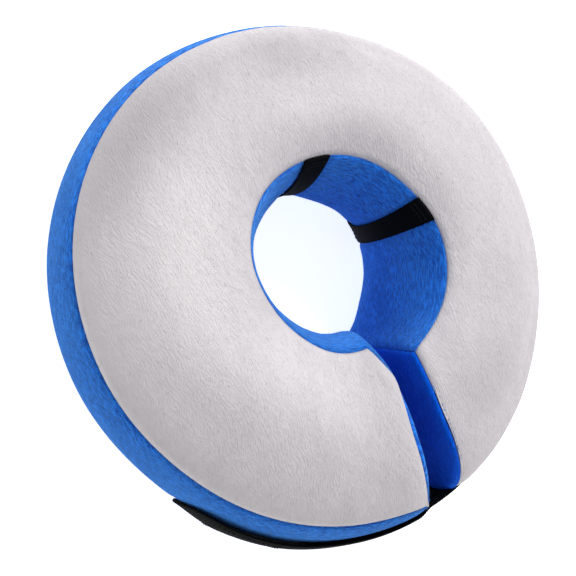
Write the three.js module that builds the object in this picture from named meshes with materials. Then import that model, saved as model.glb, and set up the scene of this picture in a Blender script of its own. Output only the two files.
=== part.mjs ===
// Inflatable recovery collar: a C-shaped air cushion in a plush cover, worn round a pet's neck.
// It lies on its back with the grey face up. Millimetres, +Z up, origin under the outline's middle.
// The slot between the two lobes runs along -Y, and the sections go round the ring from the
// right lobe's end (the +X side of the slot) to the left lobe's end.

import * as THREE from 'three';

// Driving dimensions

const OUTER_RADIUS = 150;
const HOLE_RADIUS = 62.5;
const HALF_THICKNESS = 51;
const CROWN_INSET = 49;
const SEAM_DROP = 6;
const SHOULDER_POWER = 3;
const WALL_BULGE = 13.5;
const REST_FLAT = 2;
const FRONT_SEAM_ANGLE = 28;
const BACK_SEAM_ANGLE = 28;

const CLOTH = 2.5;
const SEAM_GAP = 0.3;
const END_SEAM_GAP = 0.8;

const SLOT_WIDTH = 13.4;
const SLOT_OFFSET = 14;
const SLOT_FLARE = 11;
const SLOT_FLARE_POWER = 3.0;
const LOBE_ROUNDING = 2;
const LOBE_ROUNDING_LENGTH = 7;
const LOBE_CORNER_LENGTH = 14;
const LOBE_CORNER_DEPTH = 28;
const END_HOLLOW = 5;

const LOOP_WIDTH = 16;
const LOOP_THICKNESS = 1.5;
const LOOP_ANGLES = [16.3, 85.5];

const STRAP_WIDTH = 38;
const STRAP_THICKNESS = 1.8;
const STRAP_CLEARANCE = 0.7;
const STRAP_LENGTH = 180;
const STRAP_TIP_LENGTH = 24;
const STRAP_LAP = 4;

// Steps of the faceted surfaces

const RING_STEPS = 54;
const LOBE_END_STEPS = [0, 1.5, 4, 8, 12];
const SHOULDER_STEPS = 4;
const CROWN_STEPS = 4;
const BAND_STEPS = 5;
const WALL_STEPS = 4;
const END_RINGS = 3;
const LOOP_STEPS = 8;
const STRAP_STEPS = 24;
const STRAP_STEPS_ACROSS = 4;

// The ring's sections, at angles round the ring from +X. Every length is a share of a named size:
// outer of OUTER_RADIUS, hole and back of HOLE_RADIUS at the front and back seams, bulge of
// WALL_BULGE, crown of HALF_THICKNESS, and seam of FRONT_SEAM_ANGLE.

const SECTIONS = [
  { angle: -76, outer: 1.013, hole: 0.925, back: 0.858, bulge: 0.11, crown: 0.985, seam: 0.8 },
  { angle: -55, outer: 1.014, hole: 0.955, back: 0.871, bulge: 0.52, crown: 0.985, seam: 0.8 },
  { angle: -30, outer: 0.997, hole: 1.0, back: 0.896, bulge: 0.87, crown: 0.99, seam: 0.85 },
  { angle: 0, outer: 0.991, hole: 1.02, back: 0.992, bulge: 0.96, crown: 1.0, seam: 0.9 },
  { angle: 30, outer: 0.997, hole: 0.995, back: 1.068, bulge: 1.21, crown: 0.99, seam: 0.9 },
  { angle: 60, outer: 0.98, hole: 1.015, back: 1.0, bulge: 1.07, crown: 0.985, seam: 0.85 },
  { angle: 90, outer: 0.988, hole: 1.015, back: 1.034, bulge: 0.9, crown: 0.99, seam: 0.82 },
  { angle: 120, outer: 1.013, hole: 1.0, back: 0.971, bulge: 1.1, crown: 1.0, seam: 0.92 },
  { angle: 150, outer: 1.013, hole: 0.905, back: 0.886, bulge: 0.84, crown: 1.0, seam: 1.0 },
  { angle: 180, outer: 0.992, hole: 0.78, back: 0.799, bulge: 0.92, crown: 1.0, seam: 1.12 },
  { angle: 210, outer: 0.971, hole: 0.71, back: 0.776, bulge: 1.11, crown: 1.0, seam: 1.25 },
  { angle: 240, outer: 0.989, hole: 0.69, back: 0.782, bulge: 1.07, crown: 0.99, seam: 1.45 },
  { angle: 272, outer: 1.005, hole: 0.655, back: 0.786, bulge: 0.81, crown: 0.985, seam: 1.48 },
];

const LOBE = { right: 1, left: -1 };
const LOBE_FAN = 0.2;
const CLEAR = CLOTH + END_SEAM_GAP;

const radians = THREE.MathUtils.degToRad;
const degrees = THREE.MathUtils.radToDeg;

// Materials

function fabric(name, color, roughness) {
  return new THREE.MeshStandardMaterial({ name, color, roughness, metalness: 0 });
}

const greyPlush = fabric('grey_plush', 0xd3ced0, 0.92);
const bluePlush = fabric('blue_plush', 0x1f63c4, 0.92);
const blackWebbing = fabric('black_webbing', 0x101114, 0.8);

// Value of one column of the table at an angle: a smooth curve through the rows on either side,
// and a straight blend of the first and last rows across the slot.

function share(column, angle) {
  const last = SECTIONS.length - 1;
  const start = SECTIONS[0].angle;
  const end = SECTIONS[last].angle;
  const turned = THREE.MathUtils.euclideanModulo(angle - start, 360) + start;
  if (turned > end) {
    const across = (turned - end) / (start + 360 - end);
    return THREE.MathUtils.lerp(SECTIONS[last][column], SECTIONS[0][column], across);
  }
  let row = 0;
  while (row < last - 1 && SECTIONS[row + 1].angle < turned) {
    row += 1;
  }
  const at = (index) => SECTIONS[THREE.MathUtils.clamp(index, 0, last)][column];
  const part = (turned - SECTIONS[row].angle) / (SECTIONS[row + 1].angle - SECTIONS[row].angle);
  const slopeIn = (at(row + 1) - at(row - 1)) / 2;
  const slopeOut = (at(row + 2) - at(row)) / 2;
  const a = 2 * at(row) - 2 * at(row + 1) + slopeIn + slopeOut;
  const b = 3 * at(row + 1) - 3 * at(row) - 2 * slopeIn - slopeOut;
  return ((a * part + b) * part + slopeIn) * part + at(row);
}

// Quarter-circle rounding: how far a surface falls back at a distance before its end.

function rounding(distance, length, depth) {
  const part = Math.max(0, 1 - distance / length);
  return depth * (1 - Math.sqrt(1 - part * part));
}

// The named sizes of the section at an angle, with the lobe's end a distance away.
// Near its end a lobe draws in on all sides, and the left lobe's inner corner is rounded off.

function sectionSizes(angle, lobe, endDistance) {
  const drawIn = rounding(endDistance, LOBE_ROUNDING_LENGTH, LOBE_ROUNDING);
  const corner = lobe === LOBE.left ? rounding(endDistance, LOBE_CORNER_LENGTH, LOBE_CORNER_DEPTH) : 0;
  const top = HALF_THICKNESS * share('crown', angle) - drawIn;
  const outer = OUTER_RADIUS * share('outer', angle) - drawIn;
  return {
    top,
    outer,
    inset: CROWN_INSET - drawIn,
    lip: top - SEAM_DROP,
    frontHole: HOLE_RADIUS * share('hole', angle) + drawIn + corner,
    backHole: HOLE_RADIUS * share('back', angle) + drawIn + corner,
    bulge: WALL_BULGE * share('bulge', angle),
    frontSeam: radians(FRONT_SEAM_ANGLE * share('seam', angle)),
    backSeam: radians(-BACK_SEAM_ANGLE),
  };
}

// Point on the shoulder between the hole's seam (part 0) and the crown (part 1), side +1 or -1.

function shoulderPoint(sizes, side, part) {
  const hole = side > 0 ? sizes.frontHole : sizes.backHole;
  const crown = sizes.outer - sizes.inset;
  const height = sizes.top - SEAM_DROP * (1 - part) ** SHOULDER_POWER;
  return new THREE.Vector2(THREE.MathUtils.lerp(hole, crown, part), side * height);
}

// Point on the round outer half, at an angle up from the equator.

function outerPoint(sizes, elevation) {
  const crown = sizes.outer - sizes.inset;
  return new THREE.Vector2(crown + sizes.inset * Math.cos(elevation), sizes.top * Math.sin(elevation));
}

// Point on the wall round the neck, from the back seam (part 0) to the front seam (part 1).

function wallPoint(sizes, part) {
  const across = 2 * part - 1;
  const straight = THREE.MathUtils.lerp(sizes.backHole, sizes.frontHole, part);
  return new THREE.Vector2(straight - sizes.bulge * (1 - across * across), sizes.lip * across);
}

// The closed outline of a section, from the front hole seam over the crown and round to it again,
// with the place of each seam. Under its own weight the back is pressed flat on its crown.

function sectionOutline(sizes) {
  const points = [];
  const arc = (from, to, steps) => {
    for (let step = 1; step <= steps; step += 1) {
      points.push(outerPoint(sizes, THREE.MathUtils.lerp(from, to, step / steps)));
    }
  };
  for (let step = 0; step <= SHOULDER_STEPS; step += 1) {
    points.push(shoulderPoint(sizes, 1, step / SHOULDER_STEPS));
  }
  arc(Math.PI / 2, sizes.frontSeam, CROWN_STEPS);
  const frontSeam = points.length - 1;
  arc(sizes.frontSeam, sizes.backSeam, BAND_STEPS);
  const backSeam = points.length - 1;
  arc(sizes.backSeam, -Math.PI / 2, CROWN_STEPS);
  for (let step = SHOULDER_STEPS - 1; step >= 0; step -= 1) {
    points.push(shoulderPoint(sizes, -1, step / SHOULDER_STEPS));
  }
  const backHole = points.length - 1;
  for (let step = 1; step < WALL_STEPS; step += 1) {
    points.push(wallPoint(sizes, step / WALL_STEPS));
  }
  const floor = REST_FLAT - HALF_THICKNESS;
  points.forEach((point) => {
    point.y = Math.max(point.y, floor);
  });
  return { points, frontSeam, backSeam, backHole };
}

// Unit vector square to a step of the outline, into the cushion.

function inwardNormal(from, to) {
  const step = to.clone().sub(from).normalize();
  return new THREE.Vector2(step.y, -step.x);
}

// The outline moved into the cushion by the cloth's thickness, with mitred corners.

function innerOutline(points, thickness) {
  const count = points.length;
  return points.map((point, index) => {
    const before = inwardNormal(points[(index + count - 1) % count], point);
    const after = inwardNormal(point, points[(index + 1) % count]);
    const middle = before.clone().add(after).normalize();
    return point.clone().addScaledVector(middle, thickness / middle.dot(after));
  });
}

// The lobe's end: x on the slot's side at a radius. The right lobe's end curves away towards the
// outside, so that the slot opens there.

function lobeEndX(lobe, radius) {
  const reach = Math.max(0, (radius - HOLE_RADIUS) / (OUTER_RADIUS - HOLE_RADIUS));
  const flare = SLOT_FLARE * reach ** SLOT_FLARE_POWER;
  return SLOT_OFFSET + (lobe * SLOT_WIDTH) / 2 + (lobe === LOBE.right ? flare : 0);
}

// Angle round the ring of a point at a radius, set back from its lobe's end by a distance.

function lobeEndAngle(lobe, radius, setBack) {
  const turn = lobe === LOBE.left ? 270 : -90;
  return turn + degrees(Math.asin((lobeEndX(lobe, radius) + lobe * setBack) / radius));
}

// A place in the ring, from its radius, angle in degrees and height above the middle plane.

function ringPoint(radius, angle, height) {
  const turn = radians(angle);
  return new THREE.Vector3(
    radius * Math.cos(turn),
    radius * Math.sin(turn),
    height + HALF_THICKNESS - REST_FLAT,
  );
}

// Places of the sections, as parts of the way round: even steps, and closer ones at both ends.

function stations() {
  const around = 2 * Math.PI * HOLE_RADIUS;
  const near = LOBE_END_STEPS.map((distance) => distance / around);
  const first = near[near.length - 1];
  const places = [...near];
  for (let step = 1; step < RING_STEPS; step += 1) {
    places.push(THREE.MathUtils.lerp(first, 1 - first, step / RING_STEPS));
  }
  return [...places, ...near.map((part) => 1 - part).reverse()];
}

// Sizes and angles of the section at one station. A section lies straight across the ring, and
// fans out to the lobe's end over the last stretch before the slot.

function sectionAt(part) {
  const crown = OUTER_RADIUS - CROWN_INSET;
  const lobe = part < 0.5 ? LOBE.right : LOBE.left;
  const fromEnd = Math.min(part, 1 - part);
  const endAngle = (side, radius) => lobeEndAngle(side, radius, CLEAR);
  const straight = THREE.MathUtils.lerp(endAngle(LOBE.right, crown), endAngle(LOBE.left, crown), part);
  const fan = 1 - THREE.MathUtils.smoothstep(fromEnd, 0, LOBE_FAN);
  const angleOf = (radius) => straight + fan * (endAngle(lobe, radius) - endAngle(lobe, crown));
  const endDistance = fromEnd * 2 * Math.PI * HOLE_RADIUS + CLEAR;
  return { sizes: sectionSizes(straight, lobe, endDistance), angleOf };
}

// One closed body from rows of points: each row is a closed loop, and the ends are capped by
// strips between the two halves of the first and last loop.

function loftedGeometry(rows) {
  const width = rows[0].length;
  const positions = rows.flat().flatMap((point) => point.toArray());
  const faces = [];
  for (let row = 0; row + 1 < rows.length; row += 1) {
    for (let index = 0; index < width; index += 1) {
      const a = row * width + index;
      const b = row * width + ((index + 1) % width);
      faces.push([a, b, a + width], [b, b + width, a + width]);
    }
  }
  const last = (rows.length - 1) * width;
  for (let index = 0; index < width / 2 - 1; index += 1) {
    const opposite = width - 1 - index;
    faces.push([index, opposite, index + 1], [index + 1, opposite, opposite - 1]);
    faces.push([last + index, last + index + 1, last + opposite]);
    faces.push([last + index + 1, last + opposite - 1, last + opposite]);
  }
  return closedGeometry(positions, faces);
}

// A geometry from positions and faces, with its faces turned outwards.

function closedGeometry(positions, faces) {
  const corner = (index) => new THREE.Vector3().fromArray(positions, index * 3);
  const volume = faces.reduce((sum, [a, b, c]) => sum + corner(a).dot(corner(b).cross(corner(c))), 0);
  const outward = volume > 0 ? faces : faces.map(([a, b, c]) => [a, c, b]);
  const geometry = new THREE.BufferGeometry();
  geometry.setAttribute('position', new THREE.Float32BufferAttribute(positions, 3));
  geometry.setIndex(outward.flat());
  geometry.computeVertexNormals();
  return geometry;
}

// A stretch of the outline as a wall of cloth, drawn back from its seams by half the gap.

function panelLoop(outline, inner, from, to, angleOf) {
  const count = outline.length;
  const at = (list, index) => list[index % count].clone();
  const outside = [];
  const inside = [];
  for (let index = from; index <= to; index += 1) {
    outside.push(at(outline, index));
    inside.push(at(inner, index));
  }
  const drawBack = (edge, next) => {
    const step = outside[next].clone().sub(outside[edge]).normalize();
    outside[edge].addScaledVector(step, SEAM_GAP);
    inside[edge].addScaledVector(step, SEAM_GAP);
  };
  drawBack(0, 1);
  drawBack(outside.length - 1, outside.length - 2);
  return [...outside, ...inside.reverse()].map((point) => ringPoint(point.x, angleOf(point.x), point.y));
}

// A panel of the cover, swept round the ring between two of the section's seams.

function ringPanel(seamsOf) {
  const rows = stations().map((part) => {
    const { sizes, angleOf } = sectionAt(part);
    const outline = sectionOutline(sizes);
    const inner = innerOutline(outline.points, CLOTH);
    const [from, to] = seamsOf(outline);
    return panelLoop(outline.points, inner, from, to, angleOf);
  });
  return loftedGeometry(rows);
}

// The panel that closes a lobe at the slot: a wall of cloth, drawn hollow between its seams.

function endPanel(lobe) {
  const section = lobe === LOBE.left ? SECTIONS[SECTIONS.length - 1] : SECTIONS[0];
  const layer = (setBack) => {
    const { points } = sectionOutline(sectionSizes(section.angle, lobe, setBack));
    return points.map((point) => ringPoint(point.x, lobeEndAngle(lobe, point.x, setBack), point.y));
  };
  const middleRadius = (OUTER_RADIUS + HOLE_RADIUS) / 2;
  const middle = ringPoint(middleRadius, lobeEndAngle(lobe, middleRadius, 0), 0);
  const disc = (rim, setBack) => {
    const rings = [];
    for (let ring = END_RINGS; ring >= 1; ring -= 1) {
      const reach = ring / END_RINGS;
      const hollow = END_HOLLOW * (1 - reach * reach) + setBack;
      rings.push(
        rim.map((point) => {
          const place = middle.clone().lerp(point, reach);
          place.x = THREE.MathUtils.lerp(middle.x, point.x - lobe * setBack, reach) + lobe * hollow;
          return place;
        }),
      );
    }
    const centre = middle.clone();
    centre.x += lobe * (END_HOLLOW + setBack);
    return { rings, centre };
  };
  const front = disc(layer(0), 0);
  const back = disc(layer(CLOTH), CLOTH);
  return discGeometry(front, back);
}

// One closed body from two facing discs of rings, each with a centre point, joined at their rims.

function discGeometry(front, back) {
  const width = front.rings[0].length;
  const loops = [...front.rings.slice().reverse(), ...back.rings];
  const positions = [...loops.flat(), front.centre, back.centre].flatMap((point) => point.toArray());
  const faces = [];
  for (let ring = 0; ring + 1 < loops.length; ring += 1) {
    for (let index = 0; index < width; index += 1) {
      const a = ring * width + index;
      const b = ring * width + ((index + 1) % width);
      faces.push([a, b, a + width], [b, b + width, a + width]);
    }
  }
  const lastRing = (loops.length - 1) * width;
  const frontCentre = loops.length * width;
  for (let index = 0; index < width; index += 1) {
    const next = (index + 1) % width;
    faces.push([index, frontCentre, next], [lastRing + index, lastRing + next, frontCentre + 1]);
  }
  return closedGeometry(positions, faces);
}

// A webbing loop sewn into both hole seams, which lies flat on the wall round the neck.

function neckLoop(middle) {
  const halfTurn = degrees(LOOP_WIDTH / 2 / HOLE_RADIUS);
  const strips = [-halfTurn, 0, halfTurn].map((offset) => {
    const angle = middle + offset;
    return { angle, sizes: sectionSizes(angle, LOBE.right, Infinity) };
  });
  const rows = [];
  for (let step = 0; step <= LOOP_STEPS; step += 1) {
    const place = (clearance) => ({ angle, sizes }) => {
      const on = wallPoint(sizes, step / LOOP_STEPS);
      return ringPoint(on.x - clearance, angle, on.y);
    };
    const inside = strips.map(place(SEAM_GAP));
    const outside = strips.map(place(SEAM_GAP + LOOP_THICKNESS));
    rows.push([...inside, ...outside.reverse()]);
  }
  return loftedGeometry(rows);
}

// The closure strap: sewn into the right lobe's outer end, it bridges the slot and lies round the
// left lobe's outer band. Its free end is rounded.

function closureStrap() {
  const end = 360 + lobeEndAngle(LOBE.right, OUTER_RADIUS, STRAP_LAP);
  const start = end - degrees(STRAP_LENGTH / OUTER_RADIUS);
  const rows = [];
  for (let step = 0; step <= STRAP_STEPS; step += 1) {
    const part = 1 - Math.cos((Math.PI * step) / (2 * STRAP_STEPS));
    const angle = THREE.MathUtils.lerp(start, end, part);
    const sizes = sectionSizes(angle, LOBE.left, Infinity);
    const tip = rounding(part * STRAP_LENGTH, STRAP_TIP_LENGTH, STRAP_WIDTH / 2 - STRAP_THICKNESS);
    const halfWidth = STRAP_WIDTH / 2 - tip;
    const outside = [];
    const inside = [];
    for (let across = 0; across <= STRAP_STEPS_ACROSS; across += 1) {
      const reach = THREE.MathUtils.lerp(-halfWidth, halfWidth, across / STRAP_STEPS_ACROSS);
      const elevation = reach / CROWN_INSET;
      const on = outerPoint(sizes, elevation);
      const out = new THREE.Vector2(Math.cos(elevation), Math.sin(elevation));
      inside.push(on.clone().addScaledVector(out, STRAP_CLEARANCE));
      outside.push(on.clone().addScaledVector(out, STRAP_CLEARANCE + STRAP_THICKNESS));
    }
    rows.push([...outside, ...inside.reverse()].map((point) => ringPoint(point.x, angle, point.y)));
  }
  return loftedGeometry(rows);
}

// The assembly

const collar = new THREE.Group();
collar.name = 'recovery_collar';

function add(name, geometry, material) {
  const mesh = new THREE.Mesh(geometry, material);
  mesh.name = name;
  collar.add(mesh);
}

add('front_panel', ringPanel((outline) => [0, outline.frontSeam]), greyPlush);
add('outer_band', ringPanel((outline) => [outline.frontSeam, outline.backSeam]), bluePlush);
add('back_panel', ringPanel((outline) => [outline.backSeam, outline.backHole]), bluePlush);
add('inner_band', ringPanel((outline) => [outline.backHole, outline.points.length]), bluePlush);
add('end_panel_right', endPanel(LOBE.right), bluePlush);
add('end_panel_left', endPanel(LOBE.left), bluePlush);

LOOP_ANGLES.forEach((angle, index) => {
  add(`neck_loop_${index + 1}`, neckLoop(angle), blackWebbing);
});

add('closure_strap', closureStrap(), blackWebbing);

// The origin lies under the middle of the outline.

const extent = new THREE.Box3().setFromObject(collar);
const middle = extent.getCenter(new THREE.Vector3());
collar.position.set(-middle.x, -middle.y, -extent.min.z);

export default collar;
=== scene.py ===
"""Inflatable recovery collar: a C-shaped cushion in a grey and blue plush cover.

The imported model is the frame. Lengths are in metres, and angles round the ring are in degrees
from +X. The cushion lies on its back with the grey face up, and its slot opens towards -Y.
"""

import logging
import math
from dataclasses import dataclass, field, replace
from enum import Enum
from typing import Any, Callable, Dict, List, Optional, Sequence, Tuple

import bpy
import numpy as np
from mathutils import Matrix


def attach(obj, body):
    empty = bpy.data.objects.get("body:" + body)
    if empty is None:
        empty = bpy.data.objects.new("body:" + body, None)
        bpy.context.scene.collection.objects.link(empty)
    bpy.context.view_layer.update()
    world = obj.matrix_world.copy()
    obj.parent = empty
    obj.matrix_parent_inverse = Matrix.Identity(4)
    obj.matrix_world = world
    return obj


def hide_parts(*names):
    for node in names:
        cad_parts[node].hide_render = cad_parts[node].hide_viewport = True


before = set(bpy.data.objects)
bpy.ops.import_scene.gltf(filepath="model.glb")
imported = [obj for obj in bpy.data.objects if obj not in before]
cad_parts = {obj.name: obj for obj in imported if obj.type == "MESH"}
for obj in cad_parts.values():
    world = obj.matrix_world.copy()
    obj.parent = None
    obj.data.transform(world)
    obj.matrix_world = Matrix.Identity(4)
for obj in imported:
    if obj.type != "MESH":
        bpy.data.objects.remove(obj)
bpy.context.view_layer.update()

LOG = logging.getLogger("collar")
SEED = 7
MM = 0.001
FLOOR_GAP = 0.05 * MM
THREAD_RADIUS = 0.3 * MM
GREY_DENSITY = 0.18e6
BLUE_DENSITY = 0.22e6
LOOP_ANGLES = (16.3, 85.5)
Colour = Tuple[float, float, float]


# Shader graphs


class Signal:
    """One output socket of a shader graph, with arithmetic that adds the nodes for it."""

    def __init__(self, graph: "Graph", socket: bpy.types.NodeSocket) -> None:
        """Wraps a socket.

        Args:
            graph: The graph that the socket belongs to.
            socket: The output socket.
        """
        self.graph = graph
        self.socket = socket

    def __add__(self, other: Any) -> "Signal":
        """Sum of two values."""
        return self.graph.maths("ADD", self, other)

    def __sub__(self, other: Any) -> "Signal":
        """Difference of two values."""
        return self.graph.maths("SUBTRACT", self, other)

    def __rsub__(self, other: Any) -> "Signal":
        """A number less this value."""
        return self.graph.maths("SUBTRACT", other, self)

    def __mul__(self, other: Any) -> "Signal":
        """Product of two values."""
        return self.graph.maths("MULTIPLY", self, other)

    def __truediv__(self, other: Any) -> "Signal":
        """Quotient of two values."""
        return self.graph.maths("DIVIDE", self, other)

    __radd__ = __add__
    __rmul__ = __mul__

    def sine(self) -> "Signal":
        """Sine of the value in radians."""
        return self.graph.maths("SINE", self)

    def clamped(self) -> "Signal":
        """The value kept between 0 and 1."""
        return self.graph.node(
            "ShaderNodeClamp", inputs={"Value": self, "Min": 0.0, "Max": 1.0}
        )


class Graph:
    """A material's node tree, with one method that adds any node."""

    def __init__(self, name: str) -> None:
        """Starts a material with an empty tree.

        Args:
            name: The material's name.
        """
        self.material = bpy.data.materials.new(name)
        self.material.use_nodes = True
        self.tree = self.material.node_tree
        self.tree.nodes.clear()

    def node(
        self,
        kind: str,
        settings: Optional[Dict[str, Any]] = None,
        inputs: Optional[Dict[Any, Any]] = None,
        output: Any = 0,
    ) -> Signal:
        """Adds a node: its settings first, then the values or links of its sockets.

        Args:
            kind: The node's type.
            settings: Properties of the node.
            inputs: Socket names or indices, each with a value or a Signal.
            output: Name or index of the output to return.

        Returns:
            The chosen output.
        """
        made = self.tree.nodes.new(kind)
        for name, value in (settings or {}).items():
            setattr(made, name, value)
        for name, value in (inputs or {}).items():
            if isinstance(value, Signal):
                self.tree.links.new(value.socket, made.inputs[name])
            else:
                made.inputs[name].default_value = value
        return Signal(self, made.outputs[output]) if len(made.outputs) else None

    def maths(self, operation: str, *values: Any) -> Signal:
        """Adds a Math node for an operation on values or signals."""
        return self.node(
            "ShaderNodeMath", {"operation": operation}, dict(enumerate(values))
        )

    def scaled(self, vector: Signal, scale: Sequence[float]) -> Signal:
        """Adds a Vector Math node that multiplies a vector by three numbers."""
        return self.node(
            "ShaderNodeVectorMath",
            {"operation": "MULTIPLY"},
            {0: vector, 1: tuple(scale)},
        )

    def shifted(self, vector: Signal, by: Signal) -> Signal:
        """Adds a Vector Math node that adds two vectors."""
        return self.node(
            "ShaderNodeVectorMath", {"operation": "ADD"}, {0: vector, 1: by}
        )

    def joined(self, x: Any, y: Any, z: Any = 0.0) -> Signal:
        """Adds a Combine XYZ node."""
        return self.node("ShaderNodeCombineXYZ", inputs={0: x, 1: y, 2: z})

    def noise(
        self, vector: Signal, scale: float, detail: float = 2.0, roughness: float = 0.5
    ) -> Signal:
        """Adds a Noise Texture.

        Args:
            vector: The map that it is drawn on.
            scale: Spots to a unit of the map.
            detail: How many finer layers it has.
            roughness: How strong the finer layers are.

        Returns:
            Its value, from 0 to 1.
        """
        return self.node(
            "ShaderNodeTexNoise",
            inputs={
                "Vector": vector,
                "Scale": scale,
                "Detail": detail,
                "Roughness": roughness,
            },
        )

    def mixed(self, factor: Signal, first: Colour, second: Any) -> Signal:
        """Adds a colour Mix node between two colours.

        Args:
            factor: From 0, the first colour, to 1, the second.
            first: The first colour, or a Signal.
            second: The second colour, or a Signal.

        Returns:
            The mixed colour.
        """
        opaque = [c if isinstance(c, Signal) else (*c, 1.0) for c in (first, second)]
        return self.node(
            "ShaderNodeMix",
            {"data_type": "RGBA"},
            {0: factor, 6: opaque[0], 7: opaque[1]},
            output=2,
        )

    def bumped(self, height: Signal, distance: float, strength: float) -> Signal:
        """Adds a Bump node for a height that is in units of the distance."""
        return self.node(
            "ShaderNodeBump",
            inputs={"Height": height, "Distance": distance, "Strength": strength},
        )

    def finished(self, inputs: Dict[str, Any]) -> bpy.types.Material:
        """Adds the Principled shader and the output.

        Args:
            inputs: The shader's sockets, each with a value or a Signal.

        Returns:
            The material.
        """
        shader = self.node("ShaderNodeBsdfPrincipled", inputs=inputs)
        self.node("ShaderNodeOutputMaterial", inputs={"Surface": shader})
        return self.material


# Finishes


@dataclass(frozen=True)
class PaintedShadingMark:
    """A soft oval patch of painted light and shade: a lighter or darker colour mixed into the
    plush.
    """

    x: float
    y: float
    length: float
    width: float
    turn: float
    strength: float
    colour: Colour

    def apply(self, graph: Graph, place: Signal, under: Signal) -> Signal:
        """Mixes the mark's colour in by strength (1 - q)^2, q being 1 on the oval's edge.

        Args:
            graph: The material's graph.
            place: Object coordinates.
            under: The colour under the mark.

        Returns:
            The colour with the mark.
        """
        x = graph.node("ShaderNodeSeparateXYZ", inputs={0: place}, output="X") - self.x
        y = graph.node("ShaderNodeSeparateXYZ", inputs={0: place}, output="Y") - self.y
        cosine, sine = math.cos(math.radians(self.turn)), math.sin(math.radians(self.turn))
        along = (x * cosine + y * sine) / self.length
        aside = (y * cosine - x * sine) / self.width
        soft = (1 - along * along - aside * aside).clamped()
        return graph.mixed(soft * soft * self.strength, under, self.colour)


@dataclass(frozen=True)
class PlushFinish:
    """Short pile plush: brushed strokes of nap over soft light and dark random areas, with patches
    of painted light and shade where they are given.

    The pattern reads the piece's UV map, in metres of cloth, with V along the nap.
    """

    name: str
    colour: Colour
    shade: Colour
    tip: Colour
    sheen: float
    sheen_tint: Colour
    stroke_width: float = 1.0 * MM
    stroke_length: float = 4.8 * MM
    stroke_height: float = 1.1 * MM
    waver: float = 7.0 * MM
    waver_size: float = 45.0 * MM
    curl: float = 1.6 * MM
    curl_size: float = 9.0 * MM
    cloud_size: float = 60.0 * MM
    contrast: float = 0.5
    hair_share: float = 0.25
    cloud_contrast: float = 1.6
    cloud_share: float = 0.45
    painted_shading_marks: Tuple[PaintedShadingMark, ...] = ()

    def material(self) -> bpy.types.Material:
        """The strokes are noise drawn out along the nap, on a map that wavers a little.

        Returns:
            The finished material.
        """
        graph = Graph(self.name)
        cloth = graph.node("ShaderNodeTexCoord", output="UV")
        wander = graph.noise(cloth, 1 / self.waver_size, detail=1.0) - 0.5
        curl = graph.noise(cloth, 1 / self.curl_size, detail=1.0) - 0.5
        aside = wander * (2 * self.waver) + curl * (2 * self.curl)
        bent = graph.shifted(cloth, graph.joined(aside, 0.0))
        stroke = graph.scaled(bent, (1 / self.stroke_width, 1 / self.stroke_length, 1.0))
        strokes = graph.noise(stroke, 1.0, detail=3.0, roughness=0.65)
        hair = graph.scaled(bent, (4 / self.stroke_width, 3 / self.stroke_length, 1.0))
        hairs = graph.noise(hair, 0.8)
        clouds = graph.noise(cloth, 1 / self.cloud_size)
        relief = strokes * (1 - self.hair_share) + hairs * self.hair_share
        depth = ((relief - 0.5) * (3.0 * self.contrast) + 0.5).clamped()
        soft = ((clouds - 0.5) * self.cloud_contrast + 0.5).clamped()
        body = graph.mixed(depth, self.shade, self.colour)
        lit = graph.mixed(soft * self.cloud_share, body, self.tip)
        place = graph.node("ShaderNodeTexCoord", output="Object")
        # Patches of painted light and shade over the plush's colour.
        for mark in self.painted_shading_marks:
            lit = mark.apply(graph, place, lit)
        return graph.finished(
            {
                "Base Color": lit,
                "Roughness": 0.95 - depth * 0.15,
                "Normal": graph.bumped(relief, self.stroke_height, 1.0),
                "Specular IOR Level": 0.05,
                "Sheen Weight": self.sheen,
                "Sheen Roughness": 0.45,
                "Sheen Tint": (*self.sheen_tint, 1.0),
            }
        )


@dataclass(frozen=True)
class PileFinish:
    """Single hairs of the pile, darker at the root. V runs from root to tip, U differs by hair."""

    name: str
    root: Colour
    tip: Colour
    sheen: float

    def material(self) -> bpy.types.Material:
        """The colour goes from root to tip, and from hair to hair.

        Returns:
            The finished material.
        """
        graph = Graph(self.name)
        place = graph.node("ShaderNodeTexCoord", output="UV")
        across = graph.node("ShaderNodeSeparateXYZ", inputs={0: place}, output="X")
        along = graph.node("ShaderNodeSeparateXYZ", inputs={0: place}, output="Y")
        light = (along * 0.6 + across * 0.4).clamped()
        return graph.finished(
            {
                "Base Color": graph.mixed(light, self.root, self.tip),
                "Roughness": 0.9,
                "Specular IOR Level": 0.05,
                "Sheen Weight": self.sheen,
                "Sheen Roughness": 0.5,
            }
        )


@dataclass(frozen=True)
class WebbingFinish:
    """Black polyester webbing: ribs across the band, warp threads along it and faint lint.

    The pattern reads the piece's UV map, in metres, with V along the band.
    """

    name: str
    colour: Colour
    worn: Colour
    rib: float = 1.6 * MM
    warp: float = 1.1 * MM
    lint_level: float = 0.74
    lint_colour: Colour = (0.06, 0.07, 0.08)

    def material(self) -> bpy.types.Material:
        """The weave is a product of two sine waves, and lint is the peaks of a fine noise.

        Returns:
            The finished material.
        """
        graph = Graph(self.name)
        place = graph.node("ShaderNodeTexCoord", output="UV")
        across = graph.node("ShaderNodeSeparateXYZ", inputs={0: place}, output="X")
        along = graph.node("ShaderNodeSeparateXYZ", inputs={0: place}, output="Y")
        ribs = (along * (2 * math.pi / self.rib)).sine()
        warps = (across * (2 * math.pi / self.warp)).sine()
        weave = ribs * warps * 0.5 + 0.5
        fuzz = graph.noise(place, 1800.0, roughness=0.7)
        lint = ((graph.noise(place, 900.0, detail=1.0) - self.lint_level) * 14.0).clamped()
        tone = (weave * 0.6 + fuzz * 0.4).clamped()
        woven = graph.mixed(tone, self.colour, self.worn)
        return graph.finished(
            {
                "Base Color": graph.mixed(lint * 0.5, woven, self.lint_colour),
                "Roughness": 0.85 - weave * 0.2,
                "Normal": graph.bumped(weave + fuzz * 0.3, 0.18 * MM, 0.8),
                "Specular IOR Level": 0.04,
            }
        )


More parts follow.
